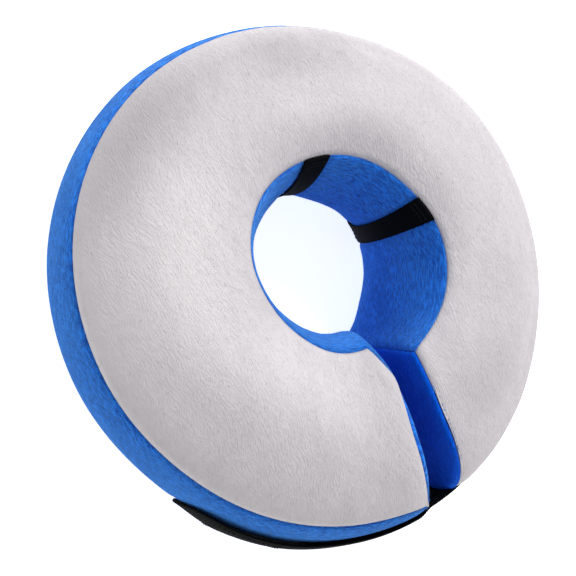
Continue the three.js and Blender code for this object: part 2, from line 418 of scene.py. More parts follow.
@dataclass(frozen=True)
class PlainFinish:
    """A matt finish with a fine mottle, for thread and for the floor, which may glow a little."""

    name: str
    colour: Colour
    mottle: Colour
    size: float
    roughness: float = 0.9
    glow: float = 0.0

    def material(self) -> bpy.types.Material:
        """The mottle is a noise on Object coordinates.

        Returns:
            The finished material.
        """
        graph = Graph(self.name)
        place = graph.node("ShaderNodeTexCoord", output="Object")
        spots = graph.noise(place, 1 / self.size)
        return graph.finished(
            {
                "Base Color": graph.mixed(spots, self.colour, self.mottle),
                "Roughness": self.roughness,
                "Specular IOR Level": 0.1,
                "Emission Color": (1.0, 1.0, 1.0, 1.0),
                "Emission Strength": self.glow,
            }
        )


# Colours of the painted shade and painted light on the grey face.
PAINTED_SHADE_COLOUR = (0.400, 0.380, 0.405)
PAINTED_LIGHT_COLOUR = (0.800, 0.765, 0.785)
GREY_PLUSH = PlushFinish(
    name="grey_plush_nap",
    colour=(0.630, 0.599, 0.622),
    shade=(0.543, 0.514, 0.541),
    tip=(0.698, 0.671, 0.690),
    sheen=0.10,
    sheen_tint=(1.0, 0.98, 1.0),
    # Patches of painted shade (darker) and painted light (lighter) on the grey face.
    painted_shading_marks=(
        PaintedShadingMark(-0.082, 0.108, 0.085, 0.036, 38.0, 0.68, PAINTED_SHADE_COLOUR),
        PaintedShadingMark(0.015, 0.128, 0.060, 0.022, -8.0, 0.32, PAINTED_SHADE_COLOUR),
        PaintedShadingMark(0.063, -0.078, 0.040, 0.026, 45.0, 0.26, PAINTED_SHADE_COLOUR),
        PaintedShadingMark(0.020, 0.073, 0.055, 0.022, -15.0, 0.22, PAINTED_SHADE_COLOUR),
        PaintedShadingMark(-0.080, 0.045, 0.090, 0.046, 68.0, 0.72, PAINTED_LIGHT_COLOUR),
        PaintedShadingMark(-0.050, -0.036, 0.085, 0.040, -45.0, 0.68, PAINTED_LIGHT_COLOUR),
    ),
)
BLUE_PLUSH = PlushFinish(
    name="blue_plush_nap",
    colour=(0.014, 0.225, 0.980),
    shade=(0.001, 0.048, 0.460),
    tip=(0.040, 0.300, 1.000),
    sheen=0.8,
    sheen_tint=(0.22, 0.55, 1.0),
    stroke_width=1.1 * MM,
    stroke_length=5.0 * MM,
    stroke_height=3.0 * MM,
    curl=2.0 * MM,
    curl_size=14.0 * MM,
    contrast=3.4,
)
# A darker copy of the blue plush, with little sheen: painted shade on the right lobe's end face
# inside the slot.
BLUE_SLOT_PAINTED_SHADE = replace(
    BLUE_PLUSH,
    name="blue_plush_painted_slot_shade",
    colour=(0.002, 0.120, 0.840),
    shade=(0.000, 0.042, 0.480),
    tip=(0.004, 0.160, 0.900),
    sheen=0.08,
    contrast=0.9,
)
GREY_PILE = PileFinish("grey_plush_pile", (0.54, 0.51, 0.54), (0.70, 0.672, 0.695), 0.1)
BLUE_PILE = PileFinish("blue_plush_pile", (0.003, 0.060, 0.400), (0.020, 0.180, 0.720), 0.1)
# Seam hairs with lighter blue tips than the pile's: painted sheen along the lit fringe of the
# seams.
BLUE_FRINGE_PAINTED_SHEEN = PileFinish("blue_seam_pile_painted_sheen", (0.006, 0.110, 0.560), (0.110, 0.360, 0.900), 0.4)
# Darker pile for that face: painted shade of the slot.
BLUE_SLOT_PILE_PAINTED_SHADE = PileFinish(
    "blue_plush_pile_painted_slot_shade", (0.001, 0.030, 0.320), (0.006, 0.110, 0.620), 0.0
)
WEBBING = WebbingFinish("black_webbing_weave", (0.0012, 0.0014, 0.0018), (0.0036, 0.0042, 0.005))
THREAD = PlainFinish("black_thread", (0.006, 0.006, 0.007), (0.016, 0.017, 0.019), 0.6 * MM, 0.6)
FLOOR = PlainFinish("floor_paper", (0.90, 0.90, 0.89), (0.91, 0.91, 0.90), 0.2, glow=0.80)


# Shape of the cushion


class Lobe(Enum):
    """The two lobes beside the slot."""

    RIGHT = 1
    LEFT = -1


class Part(Enum):
    """The panels that are swept round the ring, by the node that each replaces."""

    FRONT = "front_panel"
    BAND = "outer_band"
    BACK = "back_panel"
    WALL = "inner_band"


@dataclass(frozen=True)
class SectionTable:
    """Sections round the ring. Each length is a share of a size of the cushion.

    The last three columns are heights in millimetres, of the front panel's soft undulation.
    """

    angle: Tuple[float, ...] = (-76, -55, -30, 0, 30, 60, 90, 120, 150, 180, 210, 240, 272)
    outer: Tuple[float, ...] = (
        1.013, 1.014, 0.997, 0.991, 0.997, 0.98, 0.988, 1.013, 1.013, 0.992, 0.971, 0.989, 1.005,
    )
    hole: Tuple[float, ...] = (
        0.925, 0.955, 1.0, 1.02, 0.995, 1.015, 1.015, 1.0, 0.905, 0.78, 0.71, 0.69, 0.655,
    )
    back: Tuple[float, ...] = (
        0.858, 0.871, 0.896, 0.992, 1.068, 1.0, 1.034, 0.971, 0.886, 0.799, 0.776, 0.782, 0.786,
    )
    bulge: Tuple[float, ...] = (
        0.11, 0.52, 0.87, 0.96, 1.21, 1.07, 0.9, 1.1, 0.84, 0.92, 1.11, 1.07, 0.81,
    )
    crown: Tuple[float, ...] = (
        0.985, 0.985, 0.99, 1.0, 0.99, 0.985, 0.99, 1.0, 1.0, 1.0, 1.0, 0.99, 0.985,
    )
    seam: Tuple[float, ...] = (
        0.8, 0.8, 0.85, 0.9, 0.9, 0.85, 0.82, 0.92, 1.0, 1.12, 1.25, 1.45, 1.48,
    )
    ridge: Tuple[float, ...] = (
        -2.5, 1.5, 1.5, 0.0, 0.5, 1.5, -0.5, -1.0, -1.5, 0.5, 1.5, 2.0, 0.0,
    )
    lean: Tuple[float, ...] = (
        0.5, 1.5, 0.5, 1.0, 2.5, 2.0, -1.0, -1.5, 0.5, 1.5, 2.5, 1.5, 0.0,
    )
    groove: Tuple[float, ...] = (
        0.5, 0.5, -1.5, 0.0, 2.0, 2.5, 4.0, 1.5, 0.0, -0.3, 0.0, -0.3, 0.0,
    )

    def share(self, column: str, angle: np.ndarray) -> np.ndarray:
        """A column at angles: a cubic through the rows, and straight across the slot.

        Args:
            column: Name of the column.
            angle: Angles round the ring.

        Returns:
            The shares.
        """
        rows = np.array(self.angle, float)
        values = np.array(getattr(self, column), float)
        last = len(rows) - 1
        turned = np.mod(angle - rows[0], 360.0) + rows[0]
        row = np.clip(np.searchsorted(rows, turned) - 1, 0, last - 1)
        before, here, there, after = (
            values[np.clip(row + step, 0, last)] for step in (-1, 0, 1, 2)
        )
        part = (turned - rows[row]) / (rows[row + 1] - rows[row])
        slope_in, slope_out = (there - before) / 2, (after - here) / 2
        a = 2 * here - 2 * there + slope_in + slope_out
        b = 3 * there - 3 * here - 2 * slope_in - slope_out
        smooth = ((a * part + b) * part + slope_in) * part + here
        across = (turned - rows[-1]) / (rows[0] + 360.0 - rows[-1])
        return np.where(turned > rows[-1], values[-1] + (values[0] - values[-1]) * across, smooth)


def rounding(distance: np.ndarray, length: float, depth: float) -> np.ndarray:
    """Quarter-circle fall of a surface near its end: depth (1 - sqrt(1 - (1 - d / length)^2))."""
    part = np.clip(1 - np.asarray(distance, float) / length, 0.0, 1.0)
    return depth * (1 - np.sqrt(1 - part * part))


@dataclass
class SectionSizes:
    """Sizes of sections, one row each."""

    top: np.ndarray
    outer: np.ndarray
    inset: np.ndarray
    front_hole: np.ndarray
    back_hole: np.ndarray
    bulge: np.ndarray
    lip: np.ndarray
    front_seam: np.ndarray
    back_seam: float
    fullness: np.ndarray


@dataclass(frozen=True)
class Cushion:
    """The cushion's form: a ring of rounded sections, open at the slot.

    The right lobe's seam is set back evenly from its end, and the left one's by three lengths: at
    the hole, mid-way and at the outside. The left lobe's inner corner is cut off on a slant.
    """

    table: SectionTable = field(default_factory=SectionTable)
    centre: Tuple[float, float, float] = (0.147 * MM, 2.457 * MM, 49.0 * MM)
    outer_radius: float = 150.0 * MM
    hole_radius: float = 62.5 * MM
    half_thickness: float = 51.0 * MM
    crown_inset: float = 49.0 * MM
    seam_drop: float = 6.0 * MM
    wall_bulge: float = 13.5 * MM
    rest_flat: float = 2.0 * MM
    seam_angle: float = 28.0
    slot_width: float = 13.4 * MM
    slot_offset: float = 14.0 * MM
    slot_flare: float = 11.0 * MM
    rounding_depth: float = 2.0 * MM
    rounding_length: float = 7.0 * MM
    corner_length: float = 17.0 * MM
    corner_depth: float = 25.0 * MM
    corner_square: float = 1.3
    corner_fullness: float = 6.0
    tip_reach: float = 5.0 * MM
    tip_droop: float = 14.0
    tip_flare: float = 10.0 * MM
    rim_flare: float = 2.0 * MM
    end_hollow: float = 5.0 * MM
    roll_length: float = 4.0 * MM
    fan: float = 0.2
    roll_spare: float = 0.3 * MM
    right_set_back: float = 2.8 * MM
    left_set_back: Tuple[float, float, float] = (1.4 * MM, 3.7 * MM, 0.5 * MM)

    def sizes(
        self, angle: np.ndarray, left: np.ndarray, end_distance: np.ndarray
    ) -> SectionSizes:
        """Sizes of the sections at angles.

        Args:
            angle: Angles round the ring.
            left: True on the left lobe's half, whose inner corner is cut off.
            end_distance: How far the lobe's end is along the hole.

        Returns:
            The sizes, as columns.
        """

        def share(column: str) -> np.ndarray:
            """A column of the table at the angles."""
            return self.table.share(column, angle)[:, None]

        draw_in = rounding(end_distance, self.rounding_length, self.rounding_depth)[:, None]
        from_corner = np.clip(1 - end_distance / self.corner_length, 0.0, 1.0)
        square = self.corner_square
        cut = self.corner_depth * (1 - (1 - from_corner**square) ** (1 / square))
        corner = np.where(left, cut, 0.0)
        hollow = draw_in + corner[:, None]
        near_corner = np.where(left, np.exp(-end_distance / self.corner_length), 0.0)[:, None]
        near_tip = np.where(left, np.exp(-end_distance / self.tip_reach), 0.0)[:, None]
        top = self.half_thickness * share("crown") - draw_in
        return SectionSizes(
            top=top,
            outer=self.outer_radius * share("outer") - draw_in,
            inset=self.crown_inset - draw_in,
            front_hole=self.hole_radius * share("hole") + hollow,
            back_hole=self.hole_radius * share("back") + hollow,
            bulge=self.wall_bulge * share("bulge"),
            lip=top - self.seam_drop,
            front_seam=np.radians(self.seam_angle * share("seam") - self.tip_droop * near_tip),
            back_seam=-math.radians(self.seam_angle),
            fullness=2.0 + self.corner_fullness * near_corner,
        )

    def shoulder(self, s: SectionSizes, side: int, part: np.ndarray) -> np.ndarray:
        """(r, z) from the hole's seam to the crown, dropping as the cube of the way left."""
        hole = s.front_hole if side > 0 else s.back_hole
        radius = hole + (s.outer - s.inset - hole) * part
        height = side * (s.top - self.seam_drop * (1 - part) ** 3)
        return np.stack([radius, height], -1)

    def round(self, s: SectionSizes, elevation: np.ndarray) -> np.ndarray:
        """(r, z) on the outer half, an ellipse about the crown's radius."""
        radius = s.outer - s.inset + s.inset * np.cos(elevation)
        return np.stack([radius, s.top * np.sin(elevation)], -1)

    def wall(self, s: SectionSizes, part: np.ndarray) -> np.ndarray:
        """(r, z) round the neck from back to front seam, bulging by 1 - across^fullness."""
        across = 2 * part - 1
        straight = s.back_hole + (s.front_hole - s.back_hole) * part
        bulge = s.bulge * (1 - np.abs(across) ** s.fullness)
        return np.stack([straight - bulge, s.lip * across], -1)

    def profile(self, s: SectionSizes, part: Part, fineness: float) -> np.ndarray:
        """(r, z) of one panel's columns, from its first seam to its last.

        Args:
            s: Sizes of the sections.
            part: Which panel.
            fineness: Columns for each unit, 1 being about 5 mm apart.

        Returns:
            Array of sections by columns by 2.
        """

        def even(number: int) -> np.ndarray:
            """Even parts from 0 to 1, by a number of steps times the fineness."""
            return np.linspace(0.0, 1.0, max(3, int(round(number * fineness))) + 1)[None, :]

        if part is Part.WALL:
            points = self.wall(s, even(16))
        elif part is Part.BAND:
            points = self.round(s, s.front_seam + (s.back_seam - s.front_seam) * even(9))
        else:
            side = 1 if part is Part.FRONT else -1
            seam = s.front_seam if side > 0 else s.back_seam
            arc = self.round(s, side * math.pi / 2 + (seam - side * math.pi / 2) * even(10))
            points = np.concatenate([self.shoulder(s, side, even(9))[:, :-1], arc], 1)
            points = points if side > 0 else points[:, ::-1]
        points[..., 1] = np.maximum(points[..., 1], self.rest_flat - self.half_thickness)
        return points

    def reach(self, radius: Any) -> Any:
        """Part of the way from the hole to the outside."""
        return (radius - self.hole_radius) / (self.outer_radius - self.hole_radius)

    def seam_set_back(self, lobe: Any, radius: Any) -> np.ndarray:
        """How far a lobe's end seam is set back: evenly on the right, a parabola on the left."""
        inner, middle, outer = self.left_set_back
        reach = np.clip(self.reach(radius), 0.0, 1.0)
        near_ends = inner * (1 - reach) * (1 - 2 * reach) + outer * reach * (2 * reach - 1)
        left = near_ends + 4 * middle * reach * (1 - reach)
        return np.where(lobe > 0, self.right_set_back, left)

    def end_x(self, lobe: np.ndarray, radius: np.ndarray) -> np.ndarray:
        """x of a lobe's end at a radius: the right one curves away, the left one bows to the slot.

        The left one reaches out by tip (reach)^8 at its tip and by rim (1 - reach)^4 at the hole.
        """
        reach = np.clip(self.reach(radius), 0.0, 1.2)
        bow = self.tip_flare * reach**8 + self.rim_flare * (1 - reach) ** 4
        flare = np.where(lobe > 0, self.slot_flare * reach**3, bow)
        return self.slot_offset + lobe * self.slot_width / 2 + flare

    def end_angle(self, lobe: Any, radius: Any, set_back: Any = None) -> np.ndarray:
        """Angle of a point at a radius, set back from its lobe's end by its seam or as given."""
        lobe, radius = np.asarray(lobe, float), np.asarray(radius, float)
        if set_back is None:
            set_back = self.seam_set_back(lobe, radius)
        turn = np.where(lobe > 0, -90.0, 270.0)
        return turn + np.degrees(np.arcsin((self.end_x(lobe, radius) + lobe * set_back) / radius))

    def place(self, points: np.ndarray, angle: np.ndarray) -> np.ndarray:
        """Turns (r, z) points to their angles round the ring.

        Args:
            points: Array that ends in (r, z).
            angle: The angle of each point.

        Returns:
            Array that ends in (x, y, z).
        """
        turn = np.radians(angle)
        x = points[..., 0] * np.cos(turn)
        y = points[..., 0] * np.sin(turn)
        return np.stack([x, y, points[..., 1]], -1) + np.array(self.centre)

    def stations(self, steps: int, near: Sequence[float]) -> np.ndarray:
        """Places of the sections as parts of the way round, closer together at both ends.

        Args:
            steps: Even steps between the closer ones.
            near: Distances from a lobe's end, in metres along the hole.

        Returns:
            The parts, rising from 0 to 1.
        """
        close = np.array(near) / (2 * math.pi * self.hole_radius)
        return np.concatenate(
            [close[:-1], np.linspace(close[-1], 1 - close[-1], steps + 1), 1 - close[:-1][::-1]]
        )

    def sections(
        self, parts: np.ndarray
    ) -> Tuple[SectionSizes, Callable[[np.ndarray], np.ndarray]]:
        """Sizes at the stations, and the angle of a point of each at a radius.

        A section lies straight across the ring and fans out to the lobe's end near the slot.

        Args:
            parts: The stations.

        Returns:
            The sizes, and a function from radii (stations by columns) to angles.
        """
        lobe = np.where(parts < 0.5, 1.0, -1.0)
        crown = self.outer_radius - self.crown_inset
        first, last = self.end_angle(1.0, crown), self.end_angle(-1.0, crown)
        straight = first + (last - first) * parts
        from_end = np.minimum(parts, 1 - parts)
        ease = np.clip(from_end / self.fan, 0.0, 1.0)
        fan = 1 - ease * ease * (3 - 2 * ease)
        at_crown = self.end_angle(lobe, np.full_like(lobe, crown))

        def angle_of(radius: np.ndarray) -> np.ndarray:
            """Angles of points at radii."""
            ends = self.end_angle(lobe[:, None], radius)
            return straight[:, None] + fan[:, None] * (ends - at_crown[:, None])

        distance = from_end * 2 * math.pi * self.hole_radius
        looked_up = np.clip(straight, self.table.angle[0], self.table.angle[-1])
        return self.sizes(looked_up, parts > 0.5, distance), angle_of

    def panel(self, parts: np.ndarray, part: Part, fineness: float) -> np.ndarray:
        """Places of a panel's surface: stations by columns by 3."""
        sizes, angle_of = self.sections(parts)
        points = self.profile(sizes, part, fineness)
        return self.place(points, angle_of(points[..., 0]))

    def undulation(self, parts: np.ndarray, part: np.ndarray) -> np.ndarray:
        """Height of the front panel's soft undulation along its normal.

        With s the part of the way from the hole's seam to the outer seam, it is sin(pi s) times
        (ridge sin(pi s) + lean sin(2 pi s) + groove sin(3 pi s)).

        Args:
            parts: The stations.
            part: Stations by columns: how far along its section each point is.

        Returns:
            The heights.
        """
        _, angle_of = self.sections(parts)
        crown = np.full((len(parts), 1), self.outer_radius - self.crown_inset)
        angle = np.clip(angle_of(crown)[:, 0], self.table.angle[0], self.table.angle[-1])
        waves = sum(
            self.table.share(column, angle)[:, None] * np.sin(turns * math.pi * part)
            for turns, column in enumerate(("ridge", "lean", "groove"), start=1)
        )
        return waves * np.sin(math.pi * part) * MM

    def end_disc(self, lobe: Lobe, fineness: float, rings: int) -> np.ndarray:
        """Places of the panel that closes a lobe: rings by columns by 3, from rim to middle.

        The rim shrinks evenly to a middle point. The surface rolls out of its set-back seam as a
        quarter circle, and is drawn hollow by h (1 - reach^2).

        Args:
            lobe: Which lobe.
            fineness: As for a panel's columns.
            rings: Steps from rim to middle.

        Returns:
            The places.
        """
        side = float(lobe.value)
        row = np.array([self.table.angle[0 if lobe is Lobe.RIGHT else -1]], float)
        sizes = self.sizes(row, np.array([lobe is Lobe.LEFT]), np.array([0.0]))
        outline = np.concatenate(
            [self.profile(sizes, part, fineness)[0, :-1] for part in Part], 0
        )
        rim = self.place(outline, self.end_angle(side, outline[:, 0]))
        middle_radius = (self.outer_radius + self.hole_radius) / 2
        middle = self.place(np.array([middle_radius, 0.0]), self.end_angle(side, middle_radius))
        reach = 1 - np.linspace(0.0, 1.0, rings + 1)[:, None, None] ** 1.5
        places = middle + (rim[None] - middle) * reach
        seams = np.linalg.norm(places - rim[None], axis=-1)
        roll = self.seam_set_back(side, outline[:, 0]) - self.roll_spare
        out = roll - rounding(seams, self.roll_length, roll)
        places[..., 0] += side * (self.end_hollow * (1 - reach[..., 0] ** 2) - out)
        return places


# Numpy helpers


def unit(vectors: np.ndarray) -> np.ndarray:
    """Vectors divided by their lengths."""
    return vectors / np.maximum(np.linalg.norm(vectors, axis=-1, keepdims=True), 1e-12)


def grid_normals(grid: np.ndarray) -> np.ndarray:
    """Unit normals of a grid of places: the cross product of its two slopes."""
    return unit(np.cross(np.gradient(grid, axis=1), np.gradient(grid, axis=0)))


def run_length(grid: np.ndarray, axis: int) -> np.ndarray:
    """Distance along one axis of a grid of places, from its first row or column."""
    steps = np.linalg.norm(np.diff(grid, axis=axis), axis=-1)
    start = np.zeros_like(np.take(steps, [0], axis=axis))
    return np.concatenate([start, np.cumsum(steps, axis=axis)], axis=axis)


def smooth_noise(shape: Tuple[int, ...], sizes: Tuple[float, float], seed: int) -> np.ndarray:
    """Noise on a grid from -1 to 1: random values on a coarse grid, read by a cubic.

    Args:
        shape: Rows and columns.
        sizes: Rows and columns for each coarse cell.
        seed: Of the random values.

    Returns:
        The noise.
    """
    rng = np.random.default_rng(seed)
    coarse = [int(math.ceil(n / size)) + 3 for n, size in zip(shape, sizes)]
    values = rng.uniform(-1.0, 1.0, coarse)
    rows = cubic_weights(np.arange(shape[0]) / sizes[0] + 1, coarse[0])
    columns = cubic_weights(np.arange(shape[1]) / sizes[1] + 1, coarse[1])
    return rows @ values @ columns.T


def cubic_weights(places: np.ndarray, count: int) -> np.ndarray:
    """Weights that read a smooth curve through values at fractional indices.

    Args:
        places: The indices.
        count: How many values there are.

    Returns:
        A matrix of places by values.
    """
    base = np.clip(np.floor(places).astype(int), 0, count - 2)
    t = places - base
    cubic = (
        -0.5 * t + t**2 - 0.5 * t**3,
        1 - 2.5 * t**2 + 1.5 * t**3,
        0.5 * t + 2 * t**2 - 1.5 * t**3,
        -0.5 * t**2 + 0.5 * t**3,
    )
    matrix = np.zeros((len(places), count))
    rows = np.arange(len(places))
    for step, weight in zip((-1, 0, 1, 2), cubic):
        np.add.at(matrix, (rows, np.clip(base + step, 0, count - 1)), weight)
    return matrix


def smooth_mask(value: np.ndarray, low: float, high: float) -> np.ndarray:
    """0 below low, 1 above high, and a smooth step between them."""
    part = np.clip((value - low) / (high - low), 0.0, 1.0)
    return part * part * (3 - 2 * part)


def grid_faces(rows: int, columns: int, closed: bool = False) -> np.ndarray:
    """Quads of a grid, as vertex numbers. A closed grid joins its last column to its first."""
    across = np.arange(columns if closed else columns - 1)
    row, column = np.meshgrid(np.arange(rows - 1), across, indexing="ij")
    following = (column + 1) % columns
    here, there = row * columns, (row + 1) * columns
    quads = [here + column, there + column, there + following, here + following]
    return np.stack(quads, -1).reshape(-1, 4)


def make_mesh(
    name: str, places: np.ndarray, faces: np.ndarray, uv: Optional[np.ndarray] = None
) -> bpy.types.Object:
    """Puts arrays into a new mesh object.

    Args:
        name: The object's name.
        places: Vertices by 3.
        faces: Faces by 3 or 4 vertex numbers.
        uv: Map of each vertex, if any.

    Returns:
        The object, linked to the scene.
    """
    mesh = bpy.data.meshes.new(name)
    sides = faces.shape[1]
    mesh.vertices.add(len(places))
    mesh.vertices.foreach_set("co", places.astype(np.float32).ravel())
    mesh.loops.add(faces.size)
    mesh.loops.foreach_set("vertex_index", faces.astype(np.int32).ravel())
    mesh.polygons.add(len(faces))
    mesh.polygons.foreach_set("loop_start", np.arange(0, faces.size, sides, dtype=np.int32))
    mesh.polygons.foreach_set("use_smooth", np.full(len(faces), True))
    if uv is not None:
        layer = mesh.uv_layers.new(name="cloth")
        layer.data.foreach_set("uv", uv[faces.ravel()].astype(np.float32).ravel())
    mesh.update(calc_edges=True)
    mesh.validate()
    made = bpy.data.objects.new(name, mesh)
    bpy.context.scene.collection.objects.link(made)
    return made


def dress(
    piece: bpy.types.Object, material: bpy.types.Material, slot: str, *nodes: str
) -> bpy.types.Object:
    """Gives a piece its material and its body, and hides the part's nodes that it stands for.

    Args:
        piece: The piece.
        material: Its material.
        slot: Its material slot in the part. Not used.
        nodes: The part's nodes that it stands for, if any.

    Returns:
        The piece.
    """
    piece.data.materials.clear()
    piece.data.materials.append(material)
    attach(piece, "root")
    if nodes:
        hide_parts(*nodes)
    LOG.info("%s: %d faces", piece.name, len(piece.data.polygons))
    return piece


# Inflation


@dataclass
class Inflation:
    """The cover blown up against its seams by a cloth simulation on a coarse copy.

    The result is how far each coarse point moves, which finer panels read as a smooth field.
    """

    cushion: Cushion
    steps: int = 96
    near: Tuple[float, ...] = (0.0, 4 * MM, 9 * MM, 15 * MM)
    fineness: float = 1.0
    start_inset: float = 1.6 * MM
    cap: float = 2.0 * MM
    pressure: float = 4.0
    growth: float = 0.006
    frames: int = 20
    quality: int = 6
    mass: float = 0.2
    stretch_stiffness: float = 12.0
    shear_stiffness: float = 6.0
    bending_stiffness: float = 0.25
    share: Dict[Part, float] = field(
        default_factory=lambda: {Part.FRONT: 1.0, Part.BAND: 0.2, Part.BACK: 1.0, Part.WALL: 0.25}
    )
    moved: Dict[Part, np.ndarray] = field(default_factory=dict)

    def parts(self) -> np.ndarray:
        """Stations of the coarse copy."""
        return self.cushion.stations(self.steps, self.near)

    def run(self) -> None:
        """Builds the coarse copy, slackened a little between its seams, and inflates it.
        """
        panels = {part: self.cushion.panel(self.parts(), part, self.fineness) for part in Part}
        slack = {}
        for part, grid in panels.items():
            between = np.sin(np.linspace(0.0, math.pi, grid.shape[1]))[None, :, None]
            slack[part] = grid - grid_normals(grid) * between * self.start_inset
        start = np.concatenate([slack[part][:, :-1] for part in Part], 1)
        moved = self.simulate(start)
        column = 0
        for part, grid in panels.items():
            width = grid.shape[1]
            columns = np.arange(column, column + width) % start.shape[1]
            total = slack[part] + moved[:, columns] - grid
            length = np.linalg.norm(total, axis=-1, keepdims=True)
            least = total * np.minimum(1.0, self.cap / np.maximum(length, 1e-9))
            self.moved[part] = least * self.share[part]
            column += width - 1

    def simulate(self, start: np.ndarray) -> np.ndarray:
        """Runs the cloth with air pressure and with its seams held.

        Args:
            start: Stations by columns by 3, as a closed tube.

        Returns:
            How far each point moves.
        """
        rows, columns = start.shape[:2]
        ends = start[[0, -1]].mean(1)
        places = np.concatenate([start.reshape(-1, 3), ends])
        faces = grid_faces(rows, columns, closed=True).tolist()
        across = np.arange(columns)
        following = (across + 1) % columns
        last = (rows - 1) * columns
        first_hub, last_hub = rows * columns, rows * columns + 1
        faces += np.stack([across, following, np.full(columns, first_hub)], -1).tolist()
        closing = [last + following, last + across, np.full(columns, last_hub)]
        faces += np.stack(closing, -1).tolist()
        mesh = bpy.data.meshes.new("inflating_cover")
        mesh.from_pydata(places.tolist(), [], faces)
        mesh.update()
        cover = bpy.data.objects.new("inflating_cover", mesh)
        bpy.context.scene.collection.objects.link(cover)
        held = cover.vertex_groups.new(name="seams")
        held.add(self.seam_points(rows, columns), 1.0, "REPLACE")
        cloth = cover.modifiers.new("inflate", "CLOTH")
        settings = cloth.settings
        settings.quality = self.quality
        settings.mass = self.mass
        settings.tension_stiffness = self.stretch_stiffness
        settings.compression_stiffness = self.stretch_stiffness
        settings.shear_stiffness = self.shear_stiffness
        settings.bending_stiffness = self.bending_stiffness
        settings.use_pressure = True
        settings.uniform_pressure_force = self.pressure
        settings.shrink_min = -self.growth
        settings.vertex_group_mass = held.name
        settings.effector_weights.gravity = 0.0
        cloth.collision_settings.use_self_collision = False
        cloth.point_cache.frame_start = 1
        cloth.point_cache.frame_end = self.frames
        scene = bpy.context.scene
        for number in range(1, self.frames + 1):
            scene.frame_set(number)
        settled = cover.evaluated_get(bpy.context.evaluated_depsgraph_get()).to_mesh()
        after = np.empty(len(settled.vertices) * 3, np.float32)
        settled.vertices.foreach_get("co", after)
        bpy.data.objects.remove(cover)
        bpy.data.meshes.remove(mesh)
        scene.frame_set(1)
        moved = after.reshape(-1, 3)[: rows * columns].reshape(start.shape) - start
        LOG.info("inflation moves points by up to %.1f mm", np.abs(moved).max() / MM)
        return moved

    def seam_points(self, rows: int, columns: int) -> List[int]:
        """Numbers of the points on the seams and round both lobes' ends."""
        seams, column = [], 0
        for part in Part:
            seams.append(column)
            column += self.cushion.panel(self.parts()[:2], part, self.fineness).shape[1] - 1
        along = (np.arange(rows)[:, None] * columns + np.array(seams)).ravel()
        around = np.arange(columns)
        return np.unique(np.concatenate([along, around, (rows - 1) * columns + around])).tolist()

    def read(self, part: Part, parts: np.ndarray, columns: int) -> np.ndarray:
        """The movement on a finer panel.

        Args:
            part: Which panel.
            parts: The finer stations.
            columns: The finer panel's columns.

        Returns:
            Stations by columns by 3.
        """
        coarse = self.moved[part]
        index = np.interp(parts, self.parts(), np.arange(len(coarse)))
        across = np.linspace(0, coarse.shape[1] - 1, columns)
        rows = cubic_weights(index, coarse.shape[0])
        sides = cubic_weights(across, coarse.shape[1])
        return np.einsum("ri,ijk,cj->rck", rows, coarse, sides)


# Plush cover


@dataclass
class PanelSurface:
    """A finished panel surface: places, normals, nap, bare areas and distances to a seam."""

    grid: np.ndarray
    normals: np.ndarray
    nap: np.ndarray
    bare: np.ndarray
    seams: np.ndarray


@dataclass
class Fringe:
    """Hairs that stand out of a seam on the blue side, and hide where two colours meet."""

    line: np.ndarray
    out: np.ndarray
    over: np.ndarray
    density: float = 7.0 / MM
    length: float = 2.4 * MM
    width: float = 0.32 * MM
    sink: float = 1.2 * MM

    def triangles(self, seed: int) -> Tuple[np.ndarray, np.ndarray]:
        """Draws the hairs: each leans out of the seam, over to its other side and along it.

        Args:
            seed: Of the random draws.

        Returns:
            Hairs by 3 corners by 3, and the normal of each hair's light.
        """
        rng = np.random.default_rng(seed)
        run = run_length(self.line[:, None], 0)[:, 0]
        count = int(run[-1] * self.density)
        place = np.interp(rng.random(count) * run[-1], run, np.arange(len(run)))
        row = np.minimum(place.astype(int), len(run) - 2)
        part = (place - row)[:, None]

        def at(values: np.ndarray) -> np.ndarray:
            """Values read along the seam."""
            return values[row] * (1 - part) + values[row + 1] * part

        out, over = unit(at(self.out)), unit(at(self.over))
        along = unit(np.cross(out, over)) * rng.normal(0.0, 0.7, (count, 1))
        lean = over * rng.normal(-0.3, 0.4, (count, 1))
        way = unit(out * rng.uniform(0.3, 1.0, (count, 1)) + lean + along)
        root = at(self.line) - out * self.sink
        tip = root + way * self.length * rng.uniform(0.5, 1.0, (count, 1))
        side = unit(np.cross(way, out)) * self.width / 2
        return np.stack([root - side, root + side, tip], 1), out


